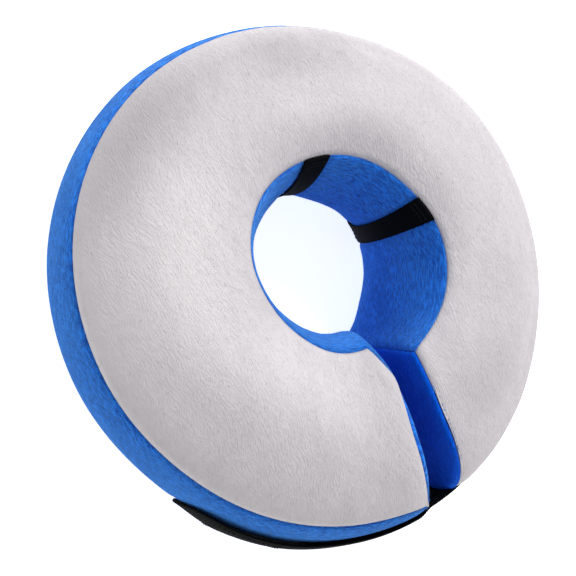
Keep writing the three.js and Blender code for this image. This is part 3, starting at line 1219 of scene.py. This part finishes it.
@dataclass
class Cover:
    """The plush cover: four panels swept round the ring and one on each lobe's end.

    Press is how deep webbing sinks in the plush, and calm the share of the small relief that a
    panel has.
    """

    cushion: Cushion
    inflation: Inflation
    grey: bpy.types.Material
    blue: bpy.types.Material
    painted_shade_slot_blue: bpy.types.Material
    steps: int = 250
    near: Tuple[float, ...] = tuple(
        16 * MM * (1 - math.cos(math.pi / 2 * step / 12)) for step in range(13)
    )
    fineness: Dict[Part, float] = field(
        default_factory=lambda: {Part.FRONT: 3.4, Part.BAND: 3.0, Part.BACK: 2.6, Part.WALL: 2.6}
    )
    cloth: float = 1.6 * MM
    dip: float = 1.1 * MM
    dip_width: float = 2.0 * MM
    still: float = 38.0 * MM
    pucker: float = 0.3 * MM
    pucker_start: float = 4.0 * MM
    pucker_reach: float = 10.0 * MM
    swell: float = 0.5 * MM
    swell_start: float = 25.0 * MM
    press: Dict[Part, float] = field(
        default_factory=lambda: {
            Part.FRONT: 0.0, Part.BAND: 0.5 * MM, Part.BACK: 0.0, Part.WALL: 1.2 * MM
        }
    )
    strap_step: Tuple[float, float] = (0.5 * MM, 5.0 * MM)
    loop_step: Tuple[float, float] = (0.5 * MM, 4.0 * MM)
    calm: Dict[Part, float] = field(
        default_factory=lambda: {Part.FRONT: 1.0, Part.BAND: 0.3, Part.BACK: 1.0, Part.WALL: 0.3}
    )
    end_rings: int = 26
    end_fineness: float = 2.6
    end_dip: float = 0.66 * MM
    end_ripple: float = 0.7 * MM
    ripple_start: float = 8.0 * MM
    front_nap: Tuple[float, float, float] = (0.06, -1.0, 0.0)
    end_nap: Tuple[float, float, float] = (0.0, -0.97, -0.24)
    surfaces: Dict[str, PanelSurface] = field(default_factory=dict)

    def parts(self) -> np.ndarray:
        """Stations of the panels."""
        return self.cushion.stations(self.steps, self.near)

    def relief(self, part: Part, grid: np.ndarray, seams: np.ndarray) -> np.ndarray:
        """Height of the small relief along the normal.

        The cloth dips at its seams by dip exp(-(d / width)^2), puckers beside them in ripples
        that fade as exp(-d / reach), and swells softly everywhere else.

        Args:
            part: Which panel.
            grid: Places of the surface.
            seams: Distance of each point to the nearest seam.

        Returns:
            The height at each point.
        """
        shape = grid.shape[:2]
        seed = SEED + 10 * list(Part).index(part)
        calm = self.calm[part]
        ripple = smooth_noise(shape, (3.0, 60.0), seed) + 0.6 * smooth_noise(
            shape, (7.0, 60.0), seed + 1
        )
        swell = smooth_noise(shape, (18.0, 22.0), seed + 2)
        dip = self.dip * np.exp(-((seams / self.dip_width) ** 2))
        pucker = self.pucker * calm * ripple * np.exp(-seams / self.pucker_reach)
        away = smooth_mask(seams, 0.0, self.pucker_start)
        swell *= self.swell * calm * smooth_mask(seams, 0.0, self.swell_start)
        return pucker * away + swell - dip

    def seam_ways(self, part: Part, plain: Dict[Part, np.ndarray]) -> Tuple[np.ndarray, ...]:
        """Ways in which a panel's first and last columns sink: halfway to its neighbour's normal.

        Args:
            part: Which panel.
            plain: Plain places of every panel.

        Returns:
            A unit vector for each station at the first column, and at the last.
        """
        order = list(Part)
        here = order.index(part)
        own = grid_normals(plain[part])
        before = grid_normals(plain[order[here - 1]])[:, -1]
        after = grid_normals(plain[order[(here + 1) % len(order)]])[:, 0]
        return unit(own[:, 0] + before), unit(own[:, -1] + after)

    def pressed(self, part: Part, grid: np.ndarray) -> np.ndarray:
        """Tells where webbing lies on the plush and presses its relief flat.

        Args:
            part: Which panel.
            grid: Places of the surface.

        Returns:
            1 at the points under webbing, 0 away from it and a soft step between.
        """
        local = grid - np.array(self.cushion.centre)
        angle = np.degrees(np.arctan2(local[..., 1], local[..., 0])) % 360.0
        flat = np.zeros(grid.shape[:2])
        if part is Part.BAND:
            strap = ClosureStrap(self.cushion)
            start, end = strap.span()
            beyond = np.maximum(start - angle, angle - end)
            beyond = beyond * math.radians(self.cushion.outer_radius)
            aside = np.abs(local[..., 2] + strap.drop) - strap.width / 2
            flat = 1 - smooth_mask(np.maximum(beyond, aside), *self.strap_step)
        elif part is Part.WALL:
            for loop in neck_loops(self.cushion):
                off = np.abs((angle - loop.angle + 180.0) % 360.0 - 180.0)
                aside = np.radians(off) * self.cushion.hole_radius - loop.width / 2
                flat = np.maximum(flat, 1 - smooth_mask(aside, *self.loop_step))
        return flat

    def swept_panel(self, part: Part, every: Dict[Part, np.ndarray]) -> None:
        """Builds one of the panels that run round the ring.

        Args:
            part: Which panel.
            every: Plain places of every panel.
        """
        parts = self.parts()
        plain = every[part]
        rows, columns = plain.shape[:2]
        pressed = self.pressed(part, plain)
        along = run_length(plain, 0)
        across = run_length(plain, 1)
        seams = np.minimum(
            np.minimum(across, across[:, -1:] - across), np.minimum(along, along[-1:] - along)
        )
        height = self.relief(part, plain, seams)
        if part is Part.FRONT:
            height += self.cushion.undulation(parts, across / across[:, -1:])
        moved = self.inflation.read(part, parts, columns)
        moved *= smooth_mask(seams, 0.0, self.still)[..., None]
        free = (1 - pressed)[..., None]
        first, last = self.seam_ways(part, every)
        near_first = np.exp(-((across / self.dip_width) ** 2))[..., None]
        near_last = np.exp(-(((across[:, -1:] - across) / self.dip_width) ** 2))[..., None]
        way = grid_normals(plain) * (1 - near_first) * (1 - near_last)
        way = unit(way + first[:, None] * near_first + last[:, None] * near_last)
        grid = plain + free * moved + way * (free[..., 0] * height)[..., None]
        grid -= grid_normals(plain) * (pressed * self.press[part])[..., None]
        grid[..., 2] = np.maximum(grid[..., 2], FLOOR_GAP)
        normals = grid_normals(grid)
        if part is Part.FRONT:
            down = np.array(self.front_nap)
            nap = unit(down - normals * (normals @ down)[..., None])
            spread = across + self.cushion.hole_radius
            local = grid - np.array(self.cushion.centre)
            uv = unit(local[..., :2]) * spread[..., None]
        else:
            nap = -unit(np.gradient(grid, axis=0))
            middle = along[:, columns // 2][:, None]
            uv = np.stack([across, np.broadcast_to(middle, across.shape)], -1)
        self.surfaces[part.value] = PanelSurface(grid, normals, nap, pressed, seams)
        material = self.grey if part is Part.FRONT else self.blue
        slot = "grey_plush" if part is Part.FRONT else "blue_plush"
        piece = make_mesh(
            part.value + "_plush",
            grid.reshape(-1, 3),
            grid_faces(rows, columns)[:, ::-1],
            uv.reshape(-1, 2),
        )
        self.thicken(piece)
        dress(piece, material, slot, part.value)

    def end_panel(self, lobe: Lobe) -> None:
        """Builds the panel that closes a lobe, softly rippled between its seam and its middle.

        Args:
            lobe: Which lobe.
        """
        name = "end_panel_" + lobe.name.lower()
        plain = self.cushion.end_disc(lobe, self.end_fineness, self.end_rings)[:-1]
        rings, columns = plain.shape[:2]
        seams = np.linalg.norm(plain - plain[:1], axis=-1)
        facing = np.array([-float(lobe.value), 0.0, 0.0])
        ripple = smooth_noise((rings, columns), (9.0, 7.0), SEED + 50 + lobe.value)
        height = self.end_ripple * ripple * smooth_mask(seams, 0.0, self.ripple_start)
        height -= self.end_dip * np.exp(-((seams / self.dip_width) ** 2))
        grid = plain + facing * height[..., None]
        grid[..., 2] = np.maximum(grid[..., 2], FLOOR_GAP)
        hub = grid[-1].mean(0)
        places = np.concatenate([grid.reshape(-1, 3), hub[None]])
        inner = (rings - 1) * columns + np.arange(columns)
        following = (rings - 1) * columns + (np.arange(columns) + 1) % columns
        cap = np.stack([inner, following, np.full(columns, len(places) - 1)], -1)
        quads = grid_faces(rings, columns, closed=True)
        triangles = np.concatenate([quads[:, [0, 1, 2]], quads[:, [0, 2, 3]], cap[:, ::-1]])
        corners = places[triangles]
        turned = np.cross(corners[:, 1] - corners[:, 0], corners[:, 2] - corners[:, 0])
        if turned.sum(0) @ facing < 0:
            triangles = triangles[:, ::-1]
        piece = make_mesh(name + "_plush", places, triangles, places[:, [2, 1]])
        normals = np.broadcast_to(facing, grid.shape)
        nap = np.broadcast_to(np.array(self.end_nap), grid.shape)
        self.surfaces[name] = PanelSurface(grid, normals, nap, np.zeros((rings, columns)), seams)
        self.thicken(piece)
        # The right lobe's end face in the slot takes the darker copy: painted shade.
        blue = self.painted_shade_slot_blue if lobe is Lobe.RIGHT else self.blue
        dress(piece, blue, "blue_plush", name)

    def fringes(self) -> List[Fringe]:
        """Lists the seams where grey meets blue.

        Returns:
            The hole's seam, the outer one, and the front of the right and the left lobe's end.
        """
        front = self.surfaces[Part.FRONT.value]
        grid, normals = front.grid, front.normals
        lines = []
        for column, inner in ((0, 1), (-1, -2)):
            over = grid[:, inner] - grid[:, column]
            lines.append(Fringe(grid[:, column], normals[:, column], over))
        for row, inner in ((0, 3), (-1, -4)):
            over = grid[inner] - grid[row]
            lines.append(Fringe(grid[row], unit(normals[row] - unit(over)), over))
        return lines

    def thicken(self, piece: bpy.types.Object) -> None:
        """Gives a panel the thickness of its cloth, inwards."""
        wall = piece.modifiers.new("cloth", "SOLIDIFY")
        wall.thickness = self.cloth
        wall.offset = -1.0
        wall.use_rim = True

    def build(self) -> None:
        """Builds every panel."""
        parts = self.parts()
        every = {part: self.cushion.panel(parts, part, self.fineness[part]) for part in Part}
        for part in Part:
            self.swept_panel(part, every)
        for lobe in Lobe:
            self.end_panel(lobe)


def hairs_mesh(
    name: str,
    places: np.ndarray,
    normals: np.ndarray,
    seed: int,
    material: bpy.types.Material,
    slot: str,
) -> bpy.types.Object:
    """Makes one piece of hairs, each a triangle that is lit as the cloth under it.

    Args:
        name: The piece's name.
        places: Hairs by 3 corners by 3, the tip last.
        normals: The cloth's normal at each hair.
        seed: Of each hair's shade.
        material: Of the hairs.
        slot: Of the piece.

    Returns:
        The piece.
    """
    faces = np.arange(places.shape[0] * 3).reshape(-1, 3)
    uv = np.zeros((len(places), 3, 2))
    uv[..., 0] = np.random.default_rng(seed).random((len(places), 1))
    uv[:, 2, 1] = 1.0
    turned = np.cross(places[:, 1] - places[:, 0], places[:, 2] - places[:, 0])
    inward = (turned * normals).sum(-1) < 0
    faces[inward] = faces[inward][:, ::-1]
    piece = make_mesh(name, places.reshape(-1, 3), faces, uv.reshape(-1, 2))
    soft = np.repeat(normals, 3, axis=0)
    piece.data.normals_split_custom_set_from_vertices(soft.tolist())
    return dress(piece, material, slot)


@dataclass
class Pile:
    """Short hairs on a panel, each one a thin triangle that lies along the nap."""

    surface: PanelSurface
    material: bpy.types.Material
    slot: str
    density: float
    length: float = 2.8 * MM
    width: float = 0.36 * MM
    lift: float = 16.0
    scatter: float = 0.3
    sink: float = 0.4 * MM
    seam_share: float = 0.45
    seam_reach: float = 6.0 * MM

    def build(self, name: str, seed: int) -> bpy.types.Object:
        """Scatters hairs over the surface in proportion to area.

        Args:
            name: The piece's name.
            seed: Of the random draws.

        Returns:
            The piece.
        """
        rng = np.random.default_rng(seed)
        grid = self.surface.grid
        sides = (grid[1:, :-1] - grid[:-1, :-1], grid[:-1, 1:] - grid[:-1, :-1])
        areas = np.linalg.norm(np.cross(*sides), axis=-1)
        count = int(areas.sum() * self.density)
        cell = rng.choice(areas.size, count, p=areas.ravel() / areas.sum())
        row, column = np.unravel_index(cell, areas.shape)
        a, b = rng.random((2, count, 1))

        def at(values: np.ndarray) -> np.ndarray:
            """Values read between the four corners of each hair's cell."""
            near = values[row, column] * (1 - b) + values[row, column + 1] * b
            far = values[row + 1, column] * (1 - b) + values[row + 1, column + 1] * b
            return near * (1 - a) + far * a

        keep = at(self.surface.bare[..., None])[:, 0] < 0.5
        root, normal, nap = (at(v) for v in (grid, self.surface.normals, self.surface.nap))
        tilt = np.radians(self.lift) * rng.uniform(0.5, 1.6, (count, 1))
        aside = np.cross(normal, nap) * rng.normal(0.0, self.scatter, (count, 1))
        way = unit((nap + aside) * np.cos(tilt) + normal * np.sin(tilt))
        seams = at(self.surface.seams[..., None])
        near_seam = smooth_mask(seams, 0.0, self.seam_reach)
        near_seam = self.seam_share + (1 - self.seam_share) * near_seam
        size = self.length * rng.uniform(0.6, 1.15, (count, 1)) * near_seam
        across = unit(np.cross(way, normal)) * self.width / 2
        root = root - normal * self.sink
        tip = root + way * size
        tip[:, 2] = np.maximum(tip[:, 2], FLOOR_GAP)
        places = np.stack([root - across, root + across, tip], 1)
        return hairs_mesh(name, places[keep], normal[keep], seed, self.material, self.slot)


# Webbing


def band_profile(width: float, thickness: float, columns: int) -> np.ndarray:
    """Closed outline of a webbing band: (across, up), rounded at both edges.

    The top runs across at full height, x = w / 2 cos(t) drawn square by a power.

    Args:
        width: Of the band.
        thickness: Of the band.
        columns: Points of the outline.

    Returns:
        Columns by 2, with up from 0 to the thickness.
    """
    turn = np.linspace(0.0, 2 * math.pi, columns, endpoint=False)

    def square(value: np.ndarray, power: float) -> np.ndarray:
        """A value to a power, with its sign kept."""
        return np.sign(value) * np.abs(value) ** power

    across = width / 2 * square(np.cos(turn), 0.55)
    up = thickness / 2 * (1 + square(np.sin(turn), 0.4))
    return np.stack([across, up], -1)


def band_mesh(
    name: str, rows: np.ndarray, outline: np.ndarray, along: np.ndarray
) -> bpy.types.Object:
    """Skins rows of closed outlines and closes both ends with a fan.

    Args:
        name: The piece's name.
        rows: Rows by columns by 3.
        outline: The band's outline, for its map.
        along: Distance of each row along the band.

    Returns:
        The mesh object.
    """
    count, columns = rows.shape[:2]
    places = np.concatenate([rows.reshape(-1, 3), rows[[0, -1]].mean(1)])
    quads = grid_faces(count, columns, closed=True)
    ring = np.arange(columns)
    following = (ring + 1) % columns
    last = (count - 1) * columns
    hubs = np.full(columns, count * columns), np.full(columns, count * columns + 1)
    faces = np.concatenate(
        [
            quads[:, [0, 1, 2]],
            quads[:, [0, 2, 3]],
            np.stack([ring, following, hubs[0]], -1),
            np.stack([last + following, last + ring, hubs[1]], -1),
        ]
    )
    corners = places[faces]
    volume = np.einsum("ij,ij->", corners[:, 0], np.cross(corners[:, 1], corners[:, 2]))
    if volume < 0:
        faces = faces[:, ::-1]
    across = np.broadcast_to(outline[:, 0], (count, columns))
    lengths = np.broadcast_to(along[:, None], (count, columns))
    uv = np.stack([across, lengths], -1).reshape(-1, 2)
    uv = np.concatenate([uv, [[0.0, along[0]], [0.0, along[-1]]]])
    return make_mesh(name, places, faces, uv)


def thread_mesh(name: str, stitches: np.ndarray, radius: float) -> bpy.types.Object:
    """Stitches as short bent tubes, six-sided, that dip into the cloth at both ends.

    Args:
        name: The piece's name.
        stitches: Count by rows by 3: the middle line of each stitch.
        radius: Of the thread.

    Returns:
        The mesh object.
    """
    count, rows = stitches.shape[:2]
    way = unit(np.gradient(stitches, axis=1))
    helper = np.broadcast_to(np.array([0.31, 0.17, 0.93]), way.shape)
    side = unit(np.cross(way, helper))
    up = np.cross(side, way)
    turn = np.linspace(0.0, 2 * math.pi, 6, endpoint=False)
    taper = np.sin(np.linspace(0.25, math.pi - 0.25, rows)) ** 0.5 * radius
    ring = side[:, :, None] * np.cos(turn)[:, None] + up[:, :, None] * np.sin(turn)[:, None]
    places = stitches[:, :, None] + ring * taper[None, :, None, None]
    quads = grid_faces(rows, 6, closed=True)
    ends = np.array([[0, 1, 2, 3], [0, 3, 4, 5]])
    last = (rows - 1) * 6
    one = np.concatenate([quads, ends, last + ends[:, ::-1]])
    faces = (one[None] + (np.arange(count) * rows * 6)[:, None, None]).reshape(-1, 4)
    corners = places.reshape(-1, 3)[faces[0]]
    outward = corners.mean(0) - stitches[0, :2].mean(0)
    if np.cross(corners[1] - corners[0], corners[2] - corners[0]) @ outward < 0:
        faces = faces[:, ::-1]
    return make_mesh(name, places.reshape(-1, 3), faces)


@dataclass
class NeckLoop:
    """A flat webbing loop on the wall round the neck, sewn into both hole seams."""

    cushion: Cushion
    number: int
    angle: float
    width: float = 16.0 * MM
    thickness: float = 1.4 * MM
    clearance: float = -0.8 * MM
    steps: int = 96
    columns: int = 28
    rib: float = 1.6 * MM
    rib_height: float = 0.1 * MM
    stitch_rows: Tuple[float, float] = (3.0 * MM, 5.5 * MM)

    def surface(self, across: np.ndarray, part: np.ndarray, up: np.ndarray) -> np.ndarray:
        """Places on the loop.

        Args:
            across: Distances across the loop.
            part: Parts of the way up the wall.
            up: Heights off the wall.

        Returns:
            A place for each of them.
        """
        angle = self.angle + np.degrees(across / self.cushion.hole_radius)
        flat = angle.ravel()
        sizes = self.cushion.sizes(flat, np.zeros(flat.shape, bool), np.full(flat.shape, 1.0))
        points = self.cushion.wall(sizes, part.ravel()[:, None])[:, 0]
        points[:, 0] -= self.clearance + up.ravel()
        return self.cushion.place(points, flat).reshape(*across.shape, 3)

    def build(self, webbing: bpy.types.Material, thread: bpy.types.Material) -> None:
        """Builds the loop with its ribs, and two rows of stitches at each end.

        Args:
            webbing: The loop's material.
            thread: The stitches' material.
        """
        outline = band_profile(self.width, self.thickness, self.columns)
        part = np.linspace(0.0, 1.0, self.steps + 1)
        across = np.broadcast_to(outline[:, 0], (len(part), self.columns))
        up = np.broadcast_to(outline[:, 1], across.shape)
        middle = self.surface(np.zeros_like(part), part, np.zeros_like(part))
        along = run_length(middle, 0)
        rib = self.rib_height * np.sin(along * 2 * math.pi / self.rib)[:, None]
        raised = up + rib * (up > self.thickness / 2)
        rows = self.surface(across, np.broadcast_to(part[:, None], across.shape), raised)
        name = f"neck_loop_{self.number}"
        piece = band_mesh(name + "_webbing", rows, outline, along)
        dress(piece, webbing, "black_webbing", name)
        self.stitch(name, thread, float(along[-1]))

    def stitch(self, name: str, thread: bpy.types.Material, length: float) -> None:
        """Adds the stitches across both ends.

        Args:
            name: The loop's name.
            thread: The stitches' material.
            length: The loop's length.
        """
        count, pitch, rise, sink = 5, 2.6 * MM, 0.25 * MM, 0.05 * MM
        centres = (np.arange(count) - (count - 1) / 2) * pitch
        shape = np.linspace(-1.0, 1.0, 5)
        lines = []
        for inset in self.stitch_rows:
            for part in (inset / length, 1 - inset / length):
                across = centres[:, None] + shape * MM
                up = self.thickness + rise * (1 - shape**2) - sink
                up = np.broadcast_to(up, across.shape)
                lines.append(self.surface(across, np.full(across.shape, part), up))
        made = thread_mesh(name + "_stitches", np.concatenate(lines), THREAD_RADIUS)
        dress(made, thread, "black_webbing")


def neck_loops(cushion: Cushion) -> List[NeckLoop]:
    """The two loops on the neck's wall."""
    return [NeckLoop(cushion, 1 + i, angle) for i, angle in enumerate(LOOP_ANGLES)]


@dataclass
class ClosureStrap:
    """The strap that bridges the slot: sewn to the right lobe, round the left lobe's band.

    It is tucked in beyond the slot, flush at its free end, and thicker over its patch: from the
    free end, the patch begins by rise_length and is over from patch_end to patch_fade.
    """

    cushion: Cushion
    width: float = 38.0 * MM
    thickness: float = 1.8 * MM
    clearance: float = 0.7 * MM
    length: float = 186.0 * MM
    tip: float = 24.0 * MM
    drop: float = 3.0 * MM
    sewn_x: float = 41.7 * MM
    tuck: float = 2.4 * MM
    tuck_place: Tuple[float, float] = (36.0 * MM, 24.0 * MM)
    flush_length: float = 30.0 * MM
    belly: float = 1.3 * MM
    rise_length: float = 28.0 * MM
    patch_end: float = 60.0 * MM
    patch_fade: float = 110.0 * MM
    box: Tuple[float, float] = (22.0 * MM, 62.0 * MM)
    box_inset: float = 3.5 * MM
    tip_share: float = 0.15
    tip_turn: float = 0.06
    steps: int = 330
    columns: int = 40
    rib: float = 1.8 * MM
    rib_height: float = 0.12 * MM

    def span(self) -> Tuple[float, float]:
        """Angles of the free end and of the sewn end."""
        end = 270.0 + math.degrees(math.asin(self.sewn_x / self.cushion.outer_radius))
        return end - math.degrees(self.length / self.cushion.outer_radius), end

    def surface(self, part: np.ndarray, across: np.ndarray, up: np.ndarray) -> np.ndarray:
        """Places on the strap.

        Args:
            part: Parts of its length, from the free end.
            across: Distances across it.
            up: Heights off its underside.

        Returns:
            A place for each of them.
        """
        start, end = self.span()
        angle = (start + (end - start) * part).ravel()
        sizes = self.cushion.sizes(angle, np.ones(angle.shape, bool), np.full(angle.shape, 1.0))
        along = part.ravel() * self.length
        elevation = (across.ravel() - self.drop) / self.cushion.crown_inset
        points = self.cushion.round(sizes, elevation[:, None])[:, 0]
        out = np.stack([np.cos(elevation), np.sin(elevation)], -1)
        first, last = self.tuck_place
        tuck = self.tuck * smooth_mask(along, self.length - first, self.length - last)
        tuck = tuck + self.clearance * (1 - smooth_mask(along, 0.0, self.flush_length))
        patch = smooth_mask(along, 0.0, self.rise_length)
        patch = patch * (1 - smooth_mask(along, self.patch_end, self.patch_fade))
        lift = self.clearance + self.belly * patch - tuck
        points += out * (lift + up.ravel())[:, None]
        return self.cushion.place(points, angle).reshape(*part.shape, 3)

    def build(self, webbing: bpy.types.Material, thread: bpy.types.Material) -> None:
        """Builds the strap with its ribs and round tip, and its sewn box.

        Args:
            webbing: The strap's material.
            thread: The stitches' material.
        """
        part = 1 - np.cos(np.linspace(self.tip_turn, math.pi / 2, self.steps + 1))
        even = np.linspace(self.tip_share, 1.0, self.steps)
        part = np.concatenate([part[part < self.tip_share], even])
        narrow = rounding(part * self.length, self.tip, self.width / 2 - self.thickness)
        outline = band_profile(self.width, self.thickness, self.columns)
        share = ((self.width / 2 - narrow) / (self.width / 2))[:, None]
        across = outline[:, 0] * share
        up = np.broadcast_to(outline[:, 1], across.shape)
        along = part * self.length
        rib = self.rib_height * np.sin(along * 2 * math.pi / self.rib)[:, None]
        raised = up + rib * (up > self.thickness / 2)
        rows = self.surface(np.broadcast_to(part[:, None], across.shape), across, raised)
        piece = band_mesh("closure_strap_webbing", rows, outline, along)
        dress(piece, webbing, "black_webbing", "closure_strap")
        self.stitch(thread)

    def stitch(self, thread: bpy.types.Material) -> None:
        """Adds the stitched box that holds the fastening patch behind the free end.

        Args:
            thread: The stitches' material.
        """
        low, high = self.box
        side = self.width / 2 - self.box_inset
        corners = [(low, -side), (low, side), (high, side), (high, -side), (low, -side)]
        lines = []
        pitch, rise, stretch = 3.0 * MM, 0.25 * MM, 0.36
        shape = np.linspace(-1.0, 1.0, 5)
        for (x0, y0), (x1, y1) in zip(corners[:-1], corners[1:]):
            run = math.hypot(x1 - x0, y1 - y0)
            count = max(2, int(run / pitch))
            centre = (np.arange(count) + 0.5) / count
            reach = centre[:, None] + shape * stretch / count
            up = np.broadcast_to(self.thickness + rise * (1 - shape**2), reach.shape)
            part = (x0 + (x1 - x0) * reach) / self.length
            lines.append(self.surface(part, y0 + (y1 - y0) * reach, up))
        made = thread_mesh("closure_strap_stitches", np.concatenate(lines), THREAD_RADIUS)
        dress(made, thread, "black_webbing")


# Studio


@dataclass(frozen=True)
class Lamp:
    """A large soft lamp that looks at the collar."""

    name: str
    place: Tuple[float, float, float]
    size: float
    power: float
    colour: Colour = (1.0, 1.0, 1.0)
    aim: Tuple[float, float, float] = (0.0, 0.0, 0.05)

    def build(self) -> None:
        """Adds the lamp, turned to the collar's middle."""
        data = bpy.data.lights.new(self.name, "AREA")
        data.shape = "DISK"
        data.size = self.size
        data.energy = self.power
        data.color = self.colour
        lamp = bpy.data.objects.new(self.name, data)
        bpy.context.scene.collection.objects.link(lamp)
        back = unit(np.array(self.place) - np.array(self.aim))
        right = unit(np.cross(np.array([0.0, 0.0, 1.0]), back))
        up = np.cross(back, right)
        lamp.matrix_world = frame_matrix(right, up, back, self.place)


def frame_matrix(
    right: Sequence[float], up: Sequence[float], back: Sequence[float], place: Sequence[float]
) -> Matrix:
    """World matrix of an object with three axes and a place."""
    matrix = np.eye(4)
    matrix[:3, 0], matrix[:3, 1], matrix[:3, 2], matrix[:3, 3] = right, up, back, place
    return Matrix(matrix.tolist())


@dataclass
class Studio:
    """Floor, lamps, sky and camera."""

    camera_place: Tuple[float, float, float] = (-0.257741, 0.041025, 0.566277)
    camera_right: Tuple[float, float, float] = (0.84494, -0.33219, 0.41919)
    camera_up: Tuple[float, float, float] = (0.32806, 0.94088, 0.08436)
    camera_back: Tuple[float, float, float] = (-0.42243, 0.06624, 0.90397)
    lens: float = 62.5
    sky: float = 0.58
    floor_size: float = 3.0
    lamps: Tuple[Lamp, ...] = (
        Lamp("key_lamp", (0.87, 0.86, 1.34), 0.8, 25.0, (1.0, 0.995, 0.99)),
        Lamp("fill_lamp", (0.30, -1.25, 0.05), 0.8, 3.5),
    )

    def build(self) -> None:
        """Builds the studio."""
        self.camera()
        self.floor()
        for lamp in self.lamps:
            lamp.build()
        world = bpy.data.worlds.new("studio_sky")
        world.use_nodes = True
        background = world.node_tree.nodes["Background"]
        background.inputs["Color"].default_value = (1.0, 1.0, 1.0, 1.0)
        background.inputs["Strength"].default_value = self.sky
        bpy.context.scene.world = world
        bpy.context.scene.view_settings.view_transform = "Standard"

    def camera(self) -> None:
        """Adds the camera at the photograph's angle."""
        data = bpy.data.cameras.new("camera")
        data.lens = self.lens
        data.sensor_width = 36.0
        data.clip_start = 0.01
        camera = bpy.data.objects.new("camera", data)
        bpy.context.scene.collection.objects.link(camera)
        camera.matrix_world = frame_matrix(
            self.camera_right, self.camera_up, self.camera_back, self.camera_place
        )
        bpy.context.scene.camera = camera

    def floor(self) -> None:
        """Adds the plain pale floor."""
        corners = np.array([[-1, -1, 0], [1, -1, 0], [1, 1, 0], [-1, 1, 0]]) * self.floor_size
        floor = make_mesh("studio_floor", corners, np.array([[0, 1, 2, 3]]))
        floor.data.materials.append(FLOOR.material())


def main() -> None:
    """Builds the studio, the cover, its pile and the webbing."""
    logging.basicConfig(level=logging.INFO, format="%(message)s")
    Studio().build()
    cushion = Cushion()
    inflation = Inflation(cushion)
    inflation.run()
    plush = [finish.material() for finish in (GREY_PLUSH, BLUE_PLUSH, BLUE_SLOT_PAINTED_SHADE)]
    cover = Cover(cushion, inflation, *plush)
    cover.build()
    grey, blue, painted_shade_slot_blue, painted_sheen_seam_blue = (
        finish.material() for finish in (GREY_PILE, BLUE_PILE, BLUE_SLOT_PILE_PAINTED_SHADE, BLUE_FRINGE_PAINTED_SHEEN)
    )
    piles = {
        Part.FRONT.value: (grey, "grey_plush", GREY_DENSITY),
        # The right end's pile is the darker one: painted shade of the slot.
        "end_panel_right": (painted_shade_slot_blue, "blue_plush", BLUE_DENSITY),
    }
    for index, (name, surface) in enumerate(cover.surfaces.items()):
        material, slot, density = piles.get(name, (blue, "blue_plush", BLUE_DENSITY))
        Pile(surface, material, slot, density).build(name + "_pile", SEED + 100 + index)
    drawn = [fringe.triangles(SEED + 200 + index) for index, fringe in enumerate(cover.fringes())]
    # Hairs along the seams, whose light tips are painted sheen.
    hairs_mesh(
        "seam_pile",
        np.concatenate([hairs for hairs, _ in drawn]),
        np.concatenate([normals for _, normals in drawn]),
        SEED + 210,
        painted_sheen_seam_blue,
        "blue_plush",
    )
    webbing, thread = WEBBING.material(), THREAD.material()
    for loop in neck_loops(cushion):
        loop.build(webbing, thread)
    ClosureStrap(cushion).build(webbing, thread)


if __name__ == "__main__":
    main()
